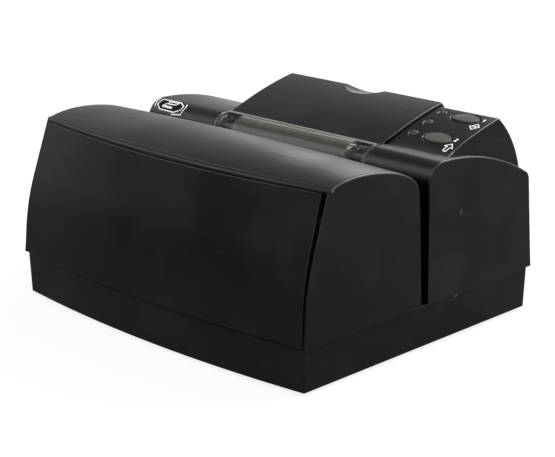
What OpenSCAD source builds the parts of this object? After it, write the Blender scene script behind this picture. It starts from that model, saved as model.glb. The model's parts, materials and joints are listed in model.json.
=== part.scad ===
// Receipt and form validation printer, millimetres, +Z up.
// Inside the modules y = 0 is the front corner line, z = 0 the bottom edge of the base,
// and x = 0 the middle. place() moves that frame to the origin of the part.

/* [Casing] */
// Width over the side walls at the seam
case_w = 190; // [184:1:196]
// Depth from the front corners to the rear wall at the seam
case_d = 154; // [152:1:156]
// Height of the base casing up to the seam
seam_h = 20; // [19:0.5:21]
// How far the bowed front stands out at its middle
front_bow = 6.4; // [4:0.2:8]
// Wall thickness of the moulded casings
wall = 2.2; // [2:0.1:2.4]
// Lean of the upper side walls, millimetres per millimetre of height
side_draft = 0.029; // [0.02:0.001:0.035]
// How far the base casing is set in under the seam
base_inset = 1.4; // [1:0.1:2]
// Height of the rubber feet under the base
foot_h = 1.5; // [1:0.1:2]

/* [Front section] */
// Highest point of the front dome at its side edges
dome_h = 87.3; // [86:0.1:88]
// Extra height of the front dome at its middle
dome_crown = 1.6; // [1:0.1:2]
// Height of the groove between the front cover and the dome
groove = 0.4; // [0.4:0.1:1]
// Largest opening angle of the front cover
cover_open = 70; // [40:5:75]

/* [Slot] */
// Slot wall of the front section, at the top of the slot
slot_front = 73.2; // [73:0.1:73.6]
// Slot wall of the rear section, at the top of the slot
slot_rear = 79.5; // [79.2:0.1:79.8]

/* [Rear section] */
// Highest point of the rear shoulders
rear_h = 83.5; // [83:0.1:84]
// Left edge of the roll cover
lid_x0 = -45.3; // [-46:0.1:-45]
// Right edge of the roll cover
lid_x1 = 53.7; // [53:0.1:54]
// Outer side of the control panel block, at the foot of its wall
block_x1 = 89.9; // [89.5:0.1:90.2]
// How far the roll cover stands above the control panel
lid_step = 1.2; // [0.8:0.1:1.4]
// Pitch of the tear bar's teeth
tooth_pitch = 1.6; // [1.4:0.1:2]

/* [Controls] */
// Long axis of the oval buttons
button_w = 15; // [14:0.5:16]
// Short axis of the oval buttons
button_d = 7.6; // [7:0.2:8.4]
// Middle of the buttons
button_x = 74.8; // [74:0.1:76]
// Depth position of the two buttons, rear one first
button_y = [126.9, 107];
// Middle of the three status lenses
lens_x = 60.6; // [60:0.1:61]
// Depth position of the three status lenses
lens_y = [128, 117.8, 107.4];

/* [Mechanism] */
// Radius of the carriage rod
rod_r = 3; // [2.5:0.1:3]
// Pitch radius of the carriage belt's pulleys
pulley_r = 6; // [5:0.5:6]
// Inner radius of the paper roll bay
bay_r = 28; // [26:0.5:28]
// Radius of the form feed rollers
form_r = 7.5; // [7:0.1:7.5]
// Radius of the receipt exit rollers
exit_r = 5; // [4.5:0.1:5]
// Running clearance of a shaft in its bearing
run_gap = 0.05; // [0.03:0.01:0.08]

/* [Hidden] */

// The part's origin is the middle of its footprint, on the surface it stands on.
mid_y = (case_d - front_bow) / 2;
half_w = case_w / 2;
bow_r = (half_w * half_w + front_bow * front_bow) / (2 * front_bow);
bow_y = bow_r - front_bow;
crown_r = half_w * half_w / (2 * dome_crown);
crown_z = dome_h - crown_r;

// Front profile: a steep foot, a bend and a straight upper part that leans back.
foot_lean = 0.09;
top_lean = 0.355;
bend_r = 102;
bend_z0 = 33;
bend_a0 = atan(foot_lean);
bend_a1 = atan(top_lean);
bend_y = foot_lean * (bend_z0 - seam_h) + bend_r * cos(bend_a0);
bend_z = bend_z0 - bend_r * sin(bend_a0);
bend_z1 = bend_z + bend_r * sin(bend_a1);
bend_y1 = bend_y - bend_r * cos(bend_a1);
reach_z = 100;

// Front dome: two arcs that meet at the peak, and a round corner at the slot.
peak_y = 33;
rise_r = 60;
fall_r = 98;
turn_r = 45;
slot_corner_r = 9;
slot_corner = [slot_front - slot_corner_r, 71.5];
slot_lean = 0.0155;
fall_c = [peak_y, dome_h - fall_r];
turn_c = meet(fall_c, fall_r - turn_r, slot_corner, turn_r - slot_corner_r);

// Where a circle round a and one round b cross, left of the line from a to b.
function meet(a, ra, b, rb) =
  let (l = norm(b - a), u = (b - a) / l, k = (l * l + ra * ra - rb * rb) / (2 * l))
  a + u * k + sqrt(ra * ra - k * k) * [-u[1], u[0]];

// Rear shoulders: one long arc, and a round corner at the slot.
shoulder_r = 119;
tear_r = 10;
tear_c = [slot_rear + tear_r, rear_h - tear_r];
rear_lean = 0.05;
rear_corner_r = 4;
shoulder_c = [tear_c[0], rear_h - shoulder_r];
rear_corner_y = case_d - rear_corner_r - rear_lean * (rear_h - 20 - seam_h);
rear_corner = [rear_corner_y, shoulder_c[1]
  + sqrt(pow(shoulder_r - rear_corner_r, 2) - pow(rear_corner_y - shoulder_c[0], 2))];

// Raised block: the panel's arc and the curved back, which meet at a rounded ridge.
panel_c = [171.8, -101.8];
panel_r = 200;
back_c = [105, 60];
back_r = 44.8;
ridge_r = 2.5;
lid_back = [104.7, 63.5];
lid_ridge_r = 1.4;
block_lean = 0.045;
block_x0 = lid_x1 + 0.35;

// Axes of the moving parts, as [y, z].
cover_axis = [17, 70];
lid_axis = [96.5, 79.6];
exit_axis = [92, 70];
idler_axis = [103.3, 56.5];
feed_axis = [105.7, 43.1];
form_axis = [slot_rear + form_r - 0.9, 32];
form_motor_axis = [form_axis[0] + 8.4, form_axis[1]];
pinch_axis = [85.1, 72.5];
arm_axis = [66.5, 44.5];
arm_roller = [68.4, 31.5];
rod_axis = [50, 38];
belt_axis_z = 29;
belt_y = 41.5;
pulley_x = 74;
park_x = -57;
latch_axis = [39.3, 41];
pin_r = 1.5;
shaft_r = 2.5;
cover_pin_r = 2;

module place() translate([0, -mid_y, foot_h]) children();

// A 2D outline in y and z, drawn out along x.
module along_x(x0, x1)
  translate([x0, 0, 0]) rotate([90, 0, 90]) linear_extrude(x1 - x0) children();

// A straight round bar along x.
module bar_x(c, r, x0, x1)
  translate([x0, c[0], c[1]]) rotate([0, 90, 0]) cylinder(r = r, h = x1 - x0, $fn = 64);

// A 2D outline in y and z, swept along the bow of the front.
module along_bow()
  translate([0, bow_y, 0]) rotate([0, 0, -99]) rotate_extrude(angle = 18, $fn = 360)
    mirror([1, 0]) translate([-bow_r, 0]) children();

// A 2D outline in y and z, swept over the crown of the dome.
module along_crown()
  translate([0, 0, crown_z]) rotate([0, -90, -90]) rotate([0, 0, -2.2])
    rotate_extrude(angle = 4.4, $fn = 1440)
      mirror([1, -1]) translate([0, -crown_z]) children();

// Everything between two leaning side planes; o moves both inwards.
module between_sides(o = 0, y0 = -20, y1 = 180) {
  low = half_w - o + side_draft * (seam_h + 10);
  high = half_w - o - side_draft * (reach_z - seam_h);
  translate([0, y1, 0]) rotate([90, 0, 0]) linear_extrude(y1 - y0)
    polygon([[-low, -10], [low, -10], [high, reach_z], [-high, reach_z]]);
}

// Region behind the front profile; o moves it inwards.
module front_region(o = 0) {
  s0 = o * sqrt(1 + foot_lean * foot_lean);
  s1 = o * sqrt(1 + top_lean * top_lean);
  back = 90;
  low_y = -foot_lean * (seam_h + 10) + s0;
  polygon([[low_y, -10], [foot_lean * (bend_z0 - seam_h) + s0, bend_z0], [back, bend_z0], [back, -10]]);
  intersection() {
    translate([bend_y, bend_z]) circle(bend_r - o, $fn = 360);
    translate([-20, bend_z0]) square([back + 20, bend_z1 - bend_z0]);
  }
  polygon([
    [bend_y1 + s1, bend_z1], [bend_y1 + s1 + top_lean * (reach_z - bend_z1), reach_z],
    [back, reach_z], [back, bend_z1]
  ]);
}

// Region under the front dome and in front of the slot; o moves it inwards.
module dome_region(o = 0) {
  low = 20;
  f = (turn_c - fall_c) / norm(turn_c - fall_c);
  g = (slot_corner - turn_c) / norm(slot_corner - turn_c);
  translate([-26, -10]) square([26 + slot_corner[0], low + 10]);
  intersection() {
    translate([peak_y, dome_h - rise_r]) circle(rise_r - o, $fn = 360);
    translate([-26, low]) square([peak_y + 26, 80]);
  }
  intersection() {
    translate(fall_c) circle(fall_r - o, $fn = 360);
    polygon([[peak_y, low], [peak_y, 110], turn_c + 90 * f, turn_c, [turn_c[0], low]]);
  }
  intersection() {
    translate(turn_c) circle(turn_r - o, $fn = 240);
    polygon([
      [turn_c[0], low], turn_c, turn_c + 90 * f, slot_corner + 40 * g, slot_corner,
      [slot_corner[0], low]
    ]);
  }
  intersection() {
    translate(slot_corner) circle(slot_corner_r - o, $fn = 96);
    polygon([slot_corner, slot_corner + 40 * g, [110, 90], [110, slot_corner[1]]]);
  }
  polygon([
    [slot_corner[0], -10], slot_corner, [slot_front - o, slot_corner[1]],
    [slot_front - o + slot_lean * (slot_corner[1] + 10), -10]
  ]);
}

// Section of the rear shoulders and slot wall; o moves it inwards.
module rear_region(o = 0) {
  low = tear_c[1] - 20;
  up = rear_corner - shoulder_c;
  wall_y = case_d - o + rear_lean * seam_h;
  polygon([
    [slot_rear + o - slot_lean * (tear_c[1] + 10), -10], [slot_rear + o, tear_c[1]], tear_c,
    [tear_c[0], -10]
  ]);
  intersection() {
    translate(tear_c) circle(tear_r - o, $fn = 96);
    translate([tear_c[0] - 30, tear_c[1]]) square([30, 30]);
  }
  polygon([
    [tear_c[0], -10], [tear_c[0], low], [rear_corner[0], low], rear_corner,
    [wall_y - rear_lean * rear_corner[1], rear_corner[1]], [wall_y + rear_lean * 10, -10]
  ]);
  intersection() {
    translate(shoulder_c) circle(shoulder_r - o, $fn = 360);
    polygon([
      [tear_c[0], low], [tear_c[0], 110], rear_corner + 0.3 * up, rear_corner, [rear_corner[0], low]
    ]);
  }
  intersection() {
    translate(rear_corner) circle(rear_corner_r - o, $fn = 48);
    polygon([
      rear_corner, rear_corner + 0.3 * up, rear_corner + [40, 40], rear_corner + [40, 0]
    ]);
  }
}

// Section of the raised block behind the tear bar, or of the roll cover, which stands up
// above it and has a sharper ridge; o moves it inwards.
module lid_region(o = 0) block_region(lid_step, o, lid_back, lid_ridge_r);
module block_region(up = 0, o = 0, back_mid = back_c, ridge = ridge_r) {
  top_r = panel_r + up - o;
  r = max(ridge - o, 0.3);
  c = meet(back_mid, back_r - o - r, panel_c, top_r - r);
  n = (c - panel_c) / norm(c - panel_c);
  m = (c - back_mid) / norm(c - back_mid);
  low = 50;
  intersection() {
    translate(panel_c) circle(top_r, $fn = 360);
    polygon([c, c + 30 * n, [tear_c[0], 130], [tear_c[0], low], [c[0], low]]);
  }
  intersection() {
    translate(c) circle(r, $fn = 48);
    polygon([c, c + 30 * n, c + 30 * n + 30 * m, c + 30 * m]);
  }
  intersection() {
    translate(back_mid) circle(back_r - o, $fn = 180);
    polygon([c, c + 30 * m, [180, low], [c[0], low]]);
  }
}

// A gear: straight-sided teeth on a disc, drawn along x, turned by a.
module gear_x(c, teeth, mod, x0, x1, bore, a = 0) {
  r = teeth * mod / 2;
  step = 360 / teeth;
  half_root = 0.34 * step;
  half_pitch = 0.225 * step;
  half_tip = 0.11 * step;
  root = r - 1.15 * mod;
  tip = r + 0.9 * mod;
  difference() {
    translate([x0, c[0], c[1]]) rotate([90, 0, 90]) linear_extrude(x1 - x0)
      polygon([for (i = [0 : teeth - 1], k = [[root, -half_root], [r, -half_pitch], [tip, -half_tip],
        [tip, half_tip], [r, half_pitch], [root, half_root]])
        let (t = a + i * step + k[1]) [k[0] * cos(t), k[0] * sin(t)]]);
    bar_x(c, bore, x0 - 1, x1 + 1);
  }
}

module case_colour() color([0.07, 0.07, 0.075]) children();
module inner_colour() color([0.2, 0.2, 0.21]) children();
module steel_colour() color([0.72, 0.73, 0.75]) children();
module rubber_colour() color([0.12, 0.12, 0.12]) children();

// Outer form of the base: the bowed front, narrowing downwards; o moves it inwards.
module base_form(o = 0, z0 = 0, z1 = seam_h) {
  w = half_w - base_inset - o;
  low = w - side_draft * (seam_h + 5);
  high = w + side_draft * 5;
  back = case_d - base_inset - o;
  intersection() {
    translate([0, 170, 0]) rotate([90, 0, 0]) linear_extrude(190)
      polygon([[-low, -5], [low, -5], [high, seam_h + 5], [-high, seam_h + 5]]);
    along_x(-half_w, half_w) polygon([
      [-15, z0], [back - side_draft * (seam_h - z0), z0], [back - side_draft * (seam_h - z1), z1],
      [-15, z1]
    ]);
    translate([0, bow_y, -5]) cylinder(
      r1 = bow_r - base_inset - o - side_draft * (seam_h + 5),
      r2 = bow_r - base_inset - o + side_draft * 5, h = seam_h + 10, $fn = 720
    );
  }
}

screw_x = 84;
screw_y = [24, 68, 88, 142];
module at_screws() for (x = [-screw_x, screw_x], y = screw_y) translate([x, y, 0]) children();

foot_x = 66;
foot_y = [16, 136];
foot_r = 8;
floor_t = 2.4;

// Rear face openings for the two sockets.
data_x = -40;
data_w = 16.4;
power_x = -12;
power_w = 11;
socket_z = 8;

module base_casing() place() case_colour() {
  difference() {
    base_form();
    base_form(o = wall, z0 = floor_t, z1 = seam_h + 1);
    for (x = [-foot_x, foot_x], y = foot_y)
      translate([x, y, -1]) cylinder(r = foot_r + 0.4, h = 1.8, $fn = 64);
    at_screws() translate([0, 0, -1]) cylinder(r = 3.2, h = 5, $fn = 48);
    at_screws() cylinder(r = 1.7, h = 12, $fn = 32);
    for (i = [-6 : 6]) translate([i * 8 - 1.5, 98, -1]) cube([3, 34, 5]);
    translate([data_x - data_w / 2, 140, socket_z]) cube([data_w, 20, 13.2]);
    translate([power_x - power_w / 2, 140, socket_z]) cube([power_w, 20, 13.2]);
  }
  // Screw bosses, with the screw heads sunk in from below.
  at_screws() difference() {
    translate([0, 0, floor_t - 0.5]) cylinder(r = 5, h = seam_h - floor_t + 0.3, $fn = 48);
    translate([0, 0, -1]) cylinder(r = 3.2, h = 5, $fn = 48);
    cylinder(r = 1.7, h = seam_h + 1, $fn = 32);
  }
  // Posts under the main board, the print frame and the two side plates.
  for (x = [-66, 56], y = [98, 142]) post(x, y, 3, 6.35, 8.4);
  for (x = [-50, 50], y = [36, 62]) post(x, y, 3.5, 20.75, 21.9);
  post(73, 110, 3.2, 20.95, 22.4);
  post(-74.6, 102, 3.2, 20.95, 22.4);
  // Ribs across the floor, and the bridge that closes the bottom of the form slot.
  difference() {
    union() {
      along_x(-half_w + 4, half_w - 4) translate([48, floor_t - 0.5]) square([1.8, 4]);
      along_x(-half_w + 4, half_w - 4) translate([71, seam_h - 3]) square([11, 2.4]);
      for (x = [-75, -25, 25, 75]) translate([x, 71, floor_t - 0.5]) cube([2, 11, seam_h - 5]);
    }
    at_screws() cylinder(r = 4, h = seam_h, $fn = 48);
  }
}

module post(x, y, r, z1, z2) translate([x, y, floor_t - 0.5]) {
  cylinder(r = r, h = z1 - floor_t + 0.5, $fn = 48);
  cylinder(r = 1.5, h = z2 - floor_t + 0.5, $fn = 32);
}

module rubber_feet() place() rubber_colour()
  for (x = [-foot_x, foot_x], y = foot_y) translate([x, y, -foot_h]) {
    cylinder(r = foot_r, h = foot_h + 0.8, $fn = 64);
  }

module casing_screws() place() steel_colour() at_screws() difference() {
  union() {
    translate([0, 0, 1.6]) cylinder(r = 2.9, h = 2.4, $fn = 48);
    translate([0, 0, 3.9]) cylinder(r = 1.45, h = 22, $fn = 32);
  }
  translate([0, 0, 1]) cylinder(r = 1.4, h = 1.8, $fn = 6);
}

// Pinch roller windows and the print window in the walls of the slot.
window_x = [-27, 27];
module slot_windows(y0, y1) {
  for (x = window_x) translate([x - 7, y0, 23]) cube([14, y1 - y0, 18]);
}

// Height of the dome's front lip over the cover, and width of the line behind it.
lip_t = 1.2;
line_w = 0.5;
module front_casing() place() case_colour() {
  difference() {
    intersection() {
      along_bow() front_region();
      along_crown() translate([0, dome_crown]) dome_region();
      between_sides();
      translate([-half_w, -10, seam_h + 0.3]) cube([case_w, 100, 90]);
    }
    intersection() {
      along_crown() translate([0, dome_crown]) dome_region(wall);
      between_sides(wall);
      translate([-half_w, -20, 0]) cube([case_w, 100, 100]);
    }
    // The front is open; its edge is thinned all round for the cover.
    intersection() {
      along_bow() difference() {
        front_region(-3);
        front_region(6);
      }
      along_crown() translate([0, dome_crown]) dome_region(lip_t);
      between_sides(0.8);
    }
    // A fine line across the dome, just behind its front lip.
    difference() {
      along_bow() difference() {
        front_region(lip_t + 0.1);
        front_region(lip_t + 0.1 + line_w);
      }
      along_crown() translate([0, dome_crown]) dome_region(0.4);
    }
    // Room for the swing of the cover's upper edge.
    intersection() {
      bar_x(cover_axis, 15.6, -half_w, half_w);
      along_crown() translate([0, dome_crown]) dome_region(1.25);
      between_sides(0.8);
    }
    slot_windows(65, 80);
    translate([-66, 65, 49]) cube([132, 15, 14]);
  }
  // Screw bosses, and the lugs that hold the cover's pivot pins.
  for (x = [-screw_x, screw_x], y = [screw_y[0], screw_y[1]]) difference() {
    union() {
      translate([x, y, seam_h + 0.3]) cylinder(r = 4, h = 12, $fn = 48);
      translate([x > 0 ? x : -half_w + 2.5, y - 1, seam_h + 0.3]) cube([half_w - 2.5 - screw_x, 2, 12]);
    }
    translate([x, y, seam_h]) cylinder(r = 1.5, h = 13, $fn = 32);
  }
  for (s = [-1, 1]) difference() {
    bar_x(cover_axis, 3.5, s > 0 ? 91.2 : -93, s > 0 ? 93 : -91.2);
    bar_x(cover_axis, cover_pin_r, s > 0 ? 90 : -92.6, s > 0 ? 92.6 : -90);
  }
}

module cover_pivot_pins() place() steel_colour()
  for (s = [-1, 1]) bar_x(cover_axis, cover_pin_r, s > 0 ? 87 : -92.6, s > 0 ? 92.6 : -87);

// The cover is a thin skin under the groove, with a stiffening edge and two pivot ears.
cover_t = 2;
// It lies close to the left cheek and leaves a gap at the right one, wider at the top.
module cover_sides(o) {
  low = half_w - o;
  high = low - side_draft * (dome_h - seam_h);
  translate([0, 60, 0]) rotate([90, 0, 0]) linear_extrude(90) polygon([
    [1.05 - low, seam_h + 0.6], [low - 1.5, seam_h + 0.6], [high - 3.6, dome_h], [1.05 - high, dome_h]
  ]);
}
module front_cover() place() case_colour() {
  intersection() {
    along_bow() difference() {
      front_region();
      front_region(cover_t);
    }
    along_crown() translate([0, dome_crown]) dome_region(lip_t + groove);
    cover_sides(0);
  }
  // Return edge at both sides and along the bottom.
  difference() {
    intersection() {
      along_bow() difference() {
        front_region(cover_t - 0.2);
        front_region(cover_t + 1.5);
      }
      along_crown() translate([0, dome_crown]) dome_region(3.4);
      cover_sides(1.6);
    }
    intersection() {
      cover_sides(3.4);
      translate([-half_w, -20, seam_h + 2.6]) cube([case_w, 80, 80]);
    }
  }
  for (s = [-1, 1]) difference() {
    intersection() {
      along_x(s > 0 ? 87.5 : -89.8, s > 0 ? 89.8 : -87.5) union() {
        translate(cover_axis) circle(4, $fn = 48);
        polygon([[3, 55], [7, 57], [20.2, 67.6], [18, 73.8], [14.4, 78], [3, 78]]);
      }
      along_bow() front_region(cover_t - 0.2);
    }
    bar_x(cover_axis, cover_pin_r + run_gap, s > 0 ? 80 : -92, s > 0 ? 92 : -80);
  }
}

// Raised block in the round, with its outer side leaning in.
module block_form(up, o, x0, x1) intersection() {
  along_x(x0, x1 + 3) block_region(up, o);
  translate([0, 180, 0]) rotate([90, 0, 0]) linear_extrude(120) polygon([
    [x0 - 1, 40], [x1 + block_lean * 27, 40], [x1 - block_lean * 43, 110], [x0 - 1, 110]
  ]);
}

module rear_casing() place() case_colour() {
  difference() {
    union() {
      intersection() {
        along_x(-half_w - 1, half_w + 1) rear_region();
        between_sides();
        translate([-half_w, 70, seam_h + 0.3]) cube([case_w, 100, 90]);
      }
      block_form(0, 0, block_x0, block_x1);
    }
    intersection() {
      along_x(-half_w - 1, half_w + 1) rear_region(wall);
      between_sides(wall);
    }
    block_form(0, wall, block_x0 + wall, block_x1 - wall);
    // Bay under the roll cover, with room for the swing of its front edge.
    translate([-43, 92.2, 55]) cube([block_x0 + 42.6, 55.3, 60]);
    translate([lid_x0 - 0.4, 89, 55]) cube([block_x0 - lid_x0 + 0.4, 15, 60]);
    // The clear tear bar takes the place of the corner here.
    translate([lid_x0 - 0.4, 70, 59.6]) cube([block_x0 - lid_x0 + 0.4, 24, 40]);
    slot_windows(72, 90);
    for (y = button_y) on_panel(button_x, y) translate([0, 0, -6]) linear_extrude(12) oval(0.5);
    for (y = lens_y) on_panel(lens_x, y) translate([0, 0, -6]) cylinder(r = 2.35, h = 12, $fn = 48);
  }
  for (x = [-screw_x, screw_x], y = [screw_y[2], screw_y[3]]) difference() {
    union() {
      translate([x, y, seam_h + 0.3]) cylinder(r = 4, h = 12, $fn = 48);
      translate([x > 0 ? x : -half_w + 2.5, y - 1, seam_h + 0.3]) cube([half_w - 2.5 - screw_x, 2, 12]);
    }
    translate([x, y, seam_h]) cylinder(r = 1.5, h = 13, $fn = 32);
  }
  // Lugs under the shoulders that hold the roll cover's pin.
  for (x = [[lid_x0 - 4.4, lid_x0 - 0.4], [block_x0, block_x0 + 4]]) difference() {
    along_x(x[0], x[1]) intersection() {
      translate([lid_axis[0] - 3.5, lid_axis[1] - 3.5]) square([7, 10]);
      rear_region(wall - 0.3);
    }
    bar_x(lid_axis, pin_r, x[0] - 1, x[1] + 1);
  }
}

// Places its children on the control panel, with +Z out of the panel.
function panel_z(y) = panel_c[1] + sqrt(panel_r * panel_r - (y - panel_c[0]) * (y - panel_c[0]));
function panel_tilt(y) = asin((panel_c[0] - y) / panel_r);
module on_panel(x, y)
  translate([x, y, panel_z(y)]) rotate([panel_tilt(y), 0, 0]) children();

module oval(grow = 0) polygon([for (i = [0 : 47])
  [(button_w / 2 + grow) * cos(i * 7.5), (button_d / 2 + grow) * sin(i * 7.5)]]);

module panel_button(y) place() color([0.36, 0.35, 0.33]) on_panel(button_x, y) {
  intersection() {
    translate([0, 0, -3]) linear_extrude(6) oval();
    translate([0, 0, 0.75 - 36]) sphere(36, $fn = 360);
  }
  translate([0, 0, -3.5]) linear_extrude(1.15) oval(1);
  translate([0, 0, -4.4]) cylinder(r = 1.6, h = 1.4, $fn = 32);
}
module button_1() panel_button(button_y[0]);
module button_2() panel_button(button_y[1]);

// One tact switch under each button, on the board; its plunger waits below the stem.
module button_switches() place() inner_colour() on_board()
  for (y = button_y - [board_y, board_y]) translate([button_x, y, -10.15]) {
    translate([-3, -3, 0]) cube([6, 6, 3.5]);
    cylinder(r = 1.7, h = 4.2, $fn = 32);
  }

// Three lenses on one light guide, which ends just above the board's lamps.
module status_lenses() place() color([0.16, 0.14, 0.13]) {
  for (y = lens_y) on_panel(lens_x, y) {
    translate([0, 0, -9.2]) cylinder(r = 2.2, h = 9.1, $fn = 48);
    intersection() {
      translate([0, 0, -2.5]) sphere(3.1, $fn = 64);
      translate([0, 0, -0.4]) cylinder(r = 2.2, h = 2, $fn = 48);
    }
  }
  on_board() translate([lens_x - 1.5, lens_y[2] - board_y, -6.2]) cube([3, lens_y[0] - lens_y[2], 1.6]);
}

// The board follows the chord of the panel between the two buttons.
board_y = (button_y[0] + button_y[1]) / 2;
board_tilt = (panel_tilt(button_y[0]) + panel_tilt(button_y[1])) / 2;
module on_board() translate([0, board_y, panel_z(board_y)]) rotate([board_tilt, 0, 0]) children();
module button_board() place() color([0.05, 0.3, 0.14]) on_board() difference() {
  translate([57.4, -15, -11.8]) cube([28.4, 30, 1.6]);
  for (x = [65, 83.5]) translate([x, 0, -13]) cylinder(r = 1.6, h = 4, $fn = 32);
}

module tear_bar() place() color([0.75, 0.75, 0.72, 0.45]) {
  end_y = tear_c[0] + 1.2;
  teeth = floor((lid_x1 - lid_x0 - 1) / tooth_pitch);
  // Two tabs that hook behind the wall of the slot.
  for (x = [-41, 43]) along_x(x, x + 7) polygon([
    [81.75, 56], [83.2, 56], [83.2, 63.6], [81.1, 63.6], [81.1, 60.2], [81.75, 60]
  ]);
  difference() {
    along_x(lid_x0, lid_x1 + 0.2) {
      difference() {
        intersection() {
          translate(tear_c) circle(tear_r, $fn = 96);
          translate([tear_c[0] - 20, tear_c[1]]) square([20, 20]);
        }
        translate(tear_c) circle(tear_r - 2, $fn = 96);
      }
      translate([tear_c[0], tear_c[1] + tear_r - 2]) square([end_y - tear_c[0], 2]);
      polygon([
        [slot_rear, tear_c[1]], [slot_rear + 2, tear_c[1]],
        [slot_rear + 2 - slot_lean * 13.5, 60], [slot_rear - slot_lean * 13.5, 60]
      ]);
    }
    // Saw teeth along the paper edge.
    for (i = [0 : teeth - 1]) translate([lid_x0 + 0.6 + i * tooth_pitch, end_y + 0.01, 80])
      linear_extrude(6) polygon([[0, 0], [tooth_pitch, 0], [tooth_pitch / 2, -0.9]]);
  }
}

// Brackets behind both ends of the tear bar, which carry the pinch wheels.
bracket_x = [[-44.6, -42.8], [-34.2, -32.4], [40.8, 42.6], [51.2, 53]];
module exit_brackets() place() inner_colour() {
  for (x = bracket_x) difference() {
    along_x(x[0], x[1]) intersection() {
      translate(tear_c) circle(tear_r - 2.1, $fn = 96);
      translate([80, 69.6]) square([8.2, 10]);
    }
    bar_x(pinch_axis, 0.8, x[0] - 1, x[1] + 1);
  }
  for (x = [[-44.6, -32.4], [40.8, 53]]) along_x(x[0], x[1]) translate([84.2, 77]) square([4, 1.2]);
}
module pinch_axles() place() steel_colour()
  for (x = [[-44.4, -32.6], [41, 52.8]]) bar_x(pinch_axis, 0.8, x[0], x[1]);
module pinch_wheels() place() color([0.85, 0.85, 0.83])
  for (x = [[-41.5, -35.5], [43.9, 49.9]]) difference() {
    bar_x(pinch_axis, 2.2, x[0], x[1]);
    bar_x(pinch_axis, 0.8 + run_gap, x[0] - 1, x[1] + 1);
  }

// Receipt exit shaft with its rollers and gear, driven through an idler.
plate_x = 66;
module exit_shaft() place() steel_colour()
  bar_x(exit_axis, shaft_r, -plate_x - 3.5, plate_x + 3.5);
module platen_roll() place() rubber_colour() difference() {
  bar_x(exit_axis, exit_r, -32, 40);
  bar_x(exit_axis, shaft_r, -33, 41);
}
// Print head of the receipt station: a ceramic strip on a metal bar, in front of the platen.
module receipt_head() place() color([0.6, 0.6, 0.62]) along_x(-31, 39) {
  translate([83.3, 60]) square([2.4, 14]);
  translate([85.7, 63]) square([1.2, 9.6]);
}
module exit_rollers() place() rubber_colour()
  for (x = [[-42, -35], [43.4, 50.4]]) difference() {
    bar_x(exit_axis, exit_r, x[0], x[1]);
    bar_x(exit_axis, shaft_r, x[0] - 1, x[1] + 1);
  }
module exit_gear() place() color([0.9, 0.9, 0.86]) gear_x(exit_axis, 20, 0.8, 60, 65, shaft_r);
exit_to_idler = atan2(idler_axis[1] - exit_axis[1], idler_axis[0] - exit_axis[0]);
idler_to_feed = atan2(feed_axis[1] - idler_axis[1], feed_axis[0] - idler_axis[0]);
// Turn of a gear so that a gap faces a tooth of the gear it meshes with.
function mesh_turn(line, turn0, n0, n1) = line + 180 + 180 / n1 + (line - turn0) * n0 / n1;
idler_turn = mesh_turn(exit_to_idler, 0, 20, 24);
module idler_gear() place() color([0.9, 0.9, 0.86])
  gear_x(idler_axis, 24, 0.8, 60.2, 64.8, 2 + run_gap, idler_turn);
feed_turn = mesh_turn(idler_to_feed, idler_turn, 24, 10);
module feed_pinion() place() color([0.8, 0.66, 0.3])
  gear_x(feed_axis, 10, 0.8, 60, 65.4, 1.2, feed_turn);
module feed_motor() place() steel_colour() {
  bar_x(feed_axis, 13, plate_x + 1.6, plate_x + 21);
  bar_x(feed_axis, 4, plate_x - 0.2, plate_x + 1.7);
  bar_x(feed_axis, 1.15, 60, plate_x);
}
module gear_plate() place() color([0.62, 0.63, 0.65]) {
  difference() {
    along_x(plate_x, plate_x + 1.6) polygon([
      [82, 22], [124, 22], [124, 56], [110, 64], [99, 69], [97, 76], [86.5, 76], [86.5, 60], [91, 48],
      [82, 40]
    ]);
    for (z = [30, 50]) bar_x([119, z], 2, plate_x - 1, plate_x + 3);
    bar_x(exit_axis, shaft_r + run_gap, plate_x - 1, plate_x + 3);
    bar_x(feed_axis, 4.1, plate_x - 1, plate_x + 3);
    bar_x(form_axis, shaft_r + run_gap, plate_x - 1, plate_x + 3);
  }
  bar_x(idler_axis, 2, 59.6, plate_x + 0.1);
  difference() {
    translate([plate_x, 98, 21]) cube([12, 24, 1.6]);
    translate([73, 110, 20]) cylinder(r = 1.6, h = 4, $fn = 32);
  }
}

// Form feed: two rollers that reach the slot through windows, on a shaft with its own motor.
module form_shaft() place() steel_colour() bar_x(form_axis, shaft_r, -plate_x - 1.5, plate_x + 3.5);
module form_rollers() place() rubber_colour()
  for (x = window_x) difference() {
    bar_x(form_axis, form_r, x - 5.5, x + 5.5);
    bar_x(form_axis, shaft_r, x - 7, x + 7);
  }
module form_gear() place() color([0.9, 0.9, 0.86])
  gear_x(form_axis, 12, 0.7, -65, -60.5, shaft_r);
module form_pinion() place() color([0.8, 0.66, 0.3])
  gear_x(form_motor_axis, 12, 0.7, -65.4, -60.5, 1.2, 180 + 15);
module form_motor() place() steel_colour() {
  bar_x(form_motor_axis, 9.2, -plate_x - 13, -plate_x - 1.6);
  bar_x(form_motor_axis, 3, -plate_x - 1.7, -plate_x + 0.2);
  bar_x(form_motor_axis, 1.15, -plate_x, -60.5);
}
module side_plate() place() color([0.62, 0.63, 0.65]) {
  difference() {
    along_x(-plate_x - 1.6, -plate_x) polygon([
      [82, 22], [116, 22], [116, 50], [99, 62], [97, 76], [86.5, 76], [86.5, 50], [82, 42]
    ]);
    for (z = [27, 42]) bar_x([112, z], 2, -plate_x - 3, -plate_x + 1);
    bar_x(exit_axis, shaft_r + run_gap, -plate_x - 3, -plate_x + 1);
    bar_x(form_axis, shaft_r + run_gap, -plate_x - 3, -plate_x + 1);
    bar_x(form_motor_axis, 3.1, -plate_x - 3, -plate_x + 1);
  }
  difference() {
    translate([-plate_x - 12, 94, 21]) cube([12, 20, 1.6]);
    translate([-74.6, 102, 20]) cylinder(r = 1.6, h = 4, $fn = 32);
  }
}

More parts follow.
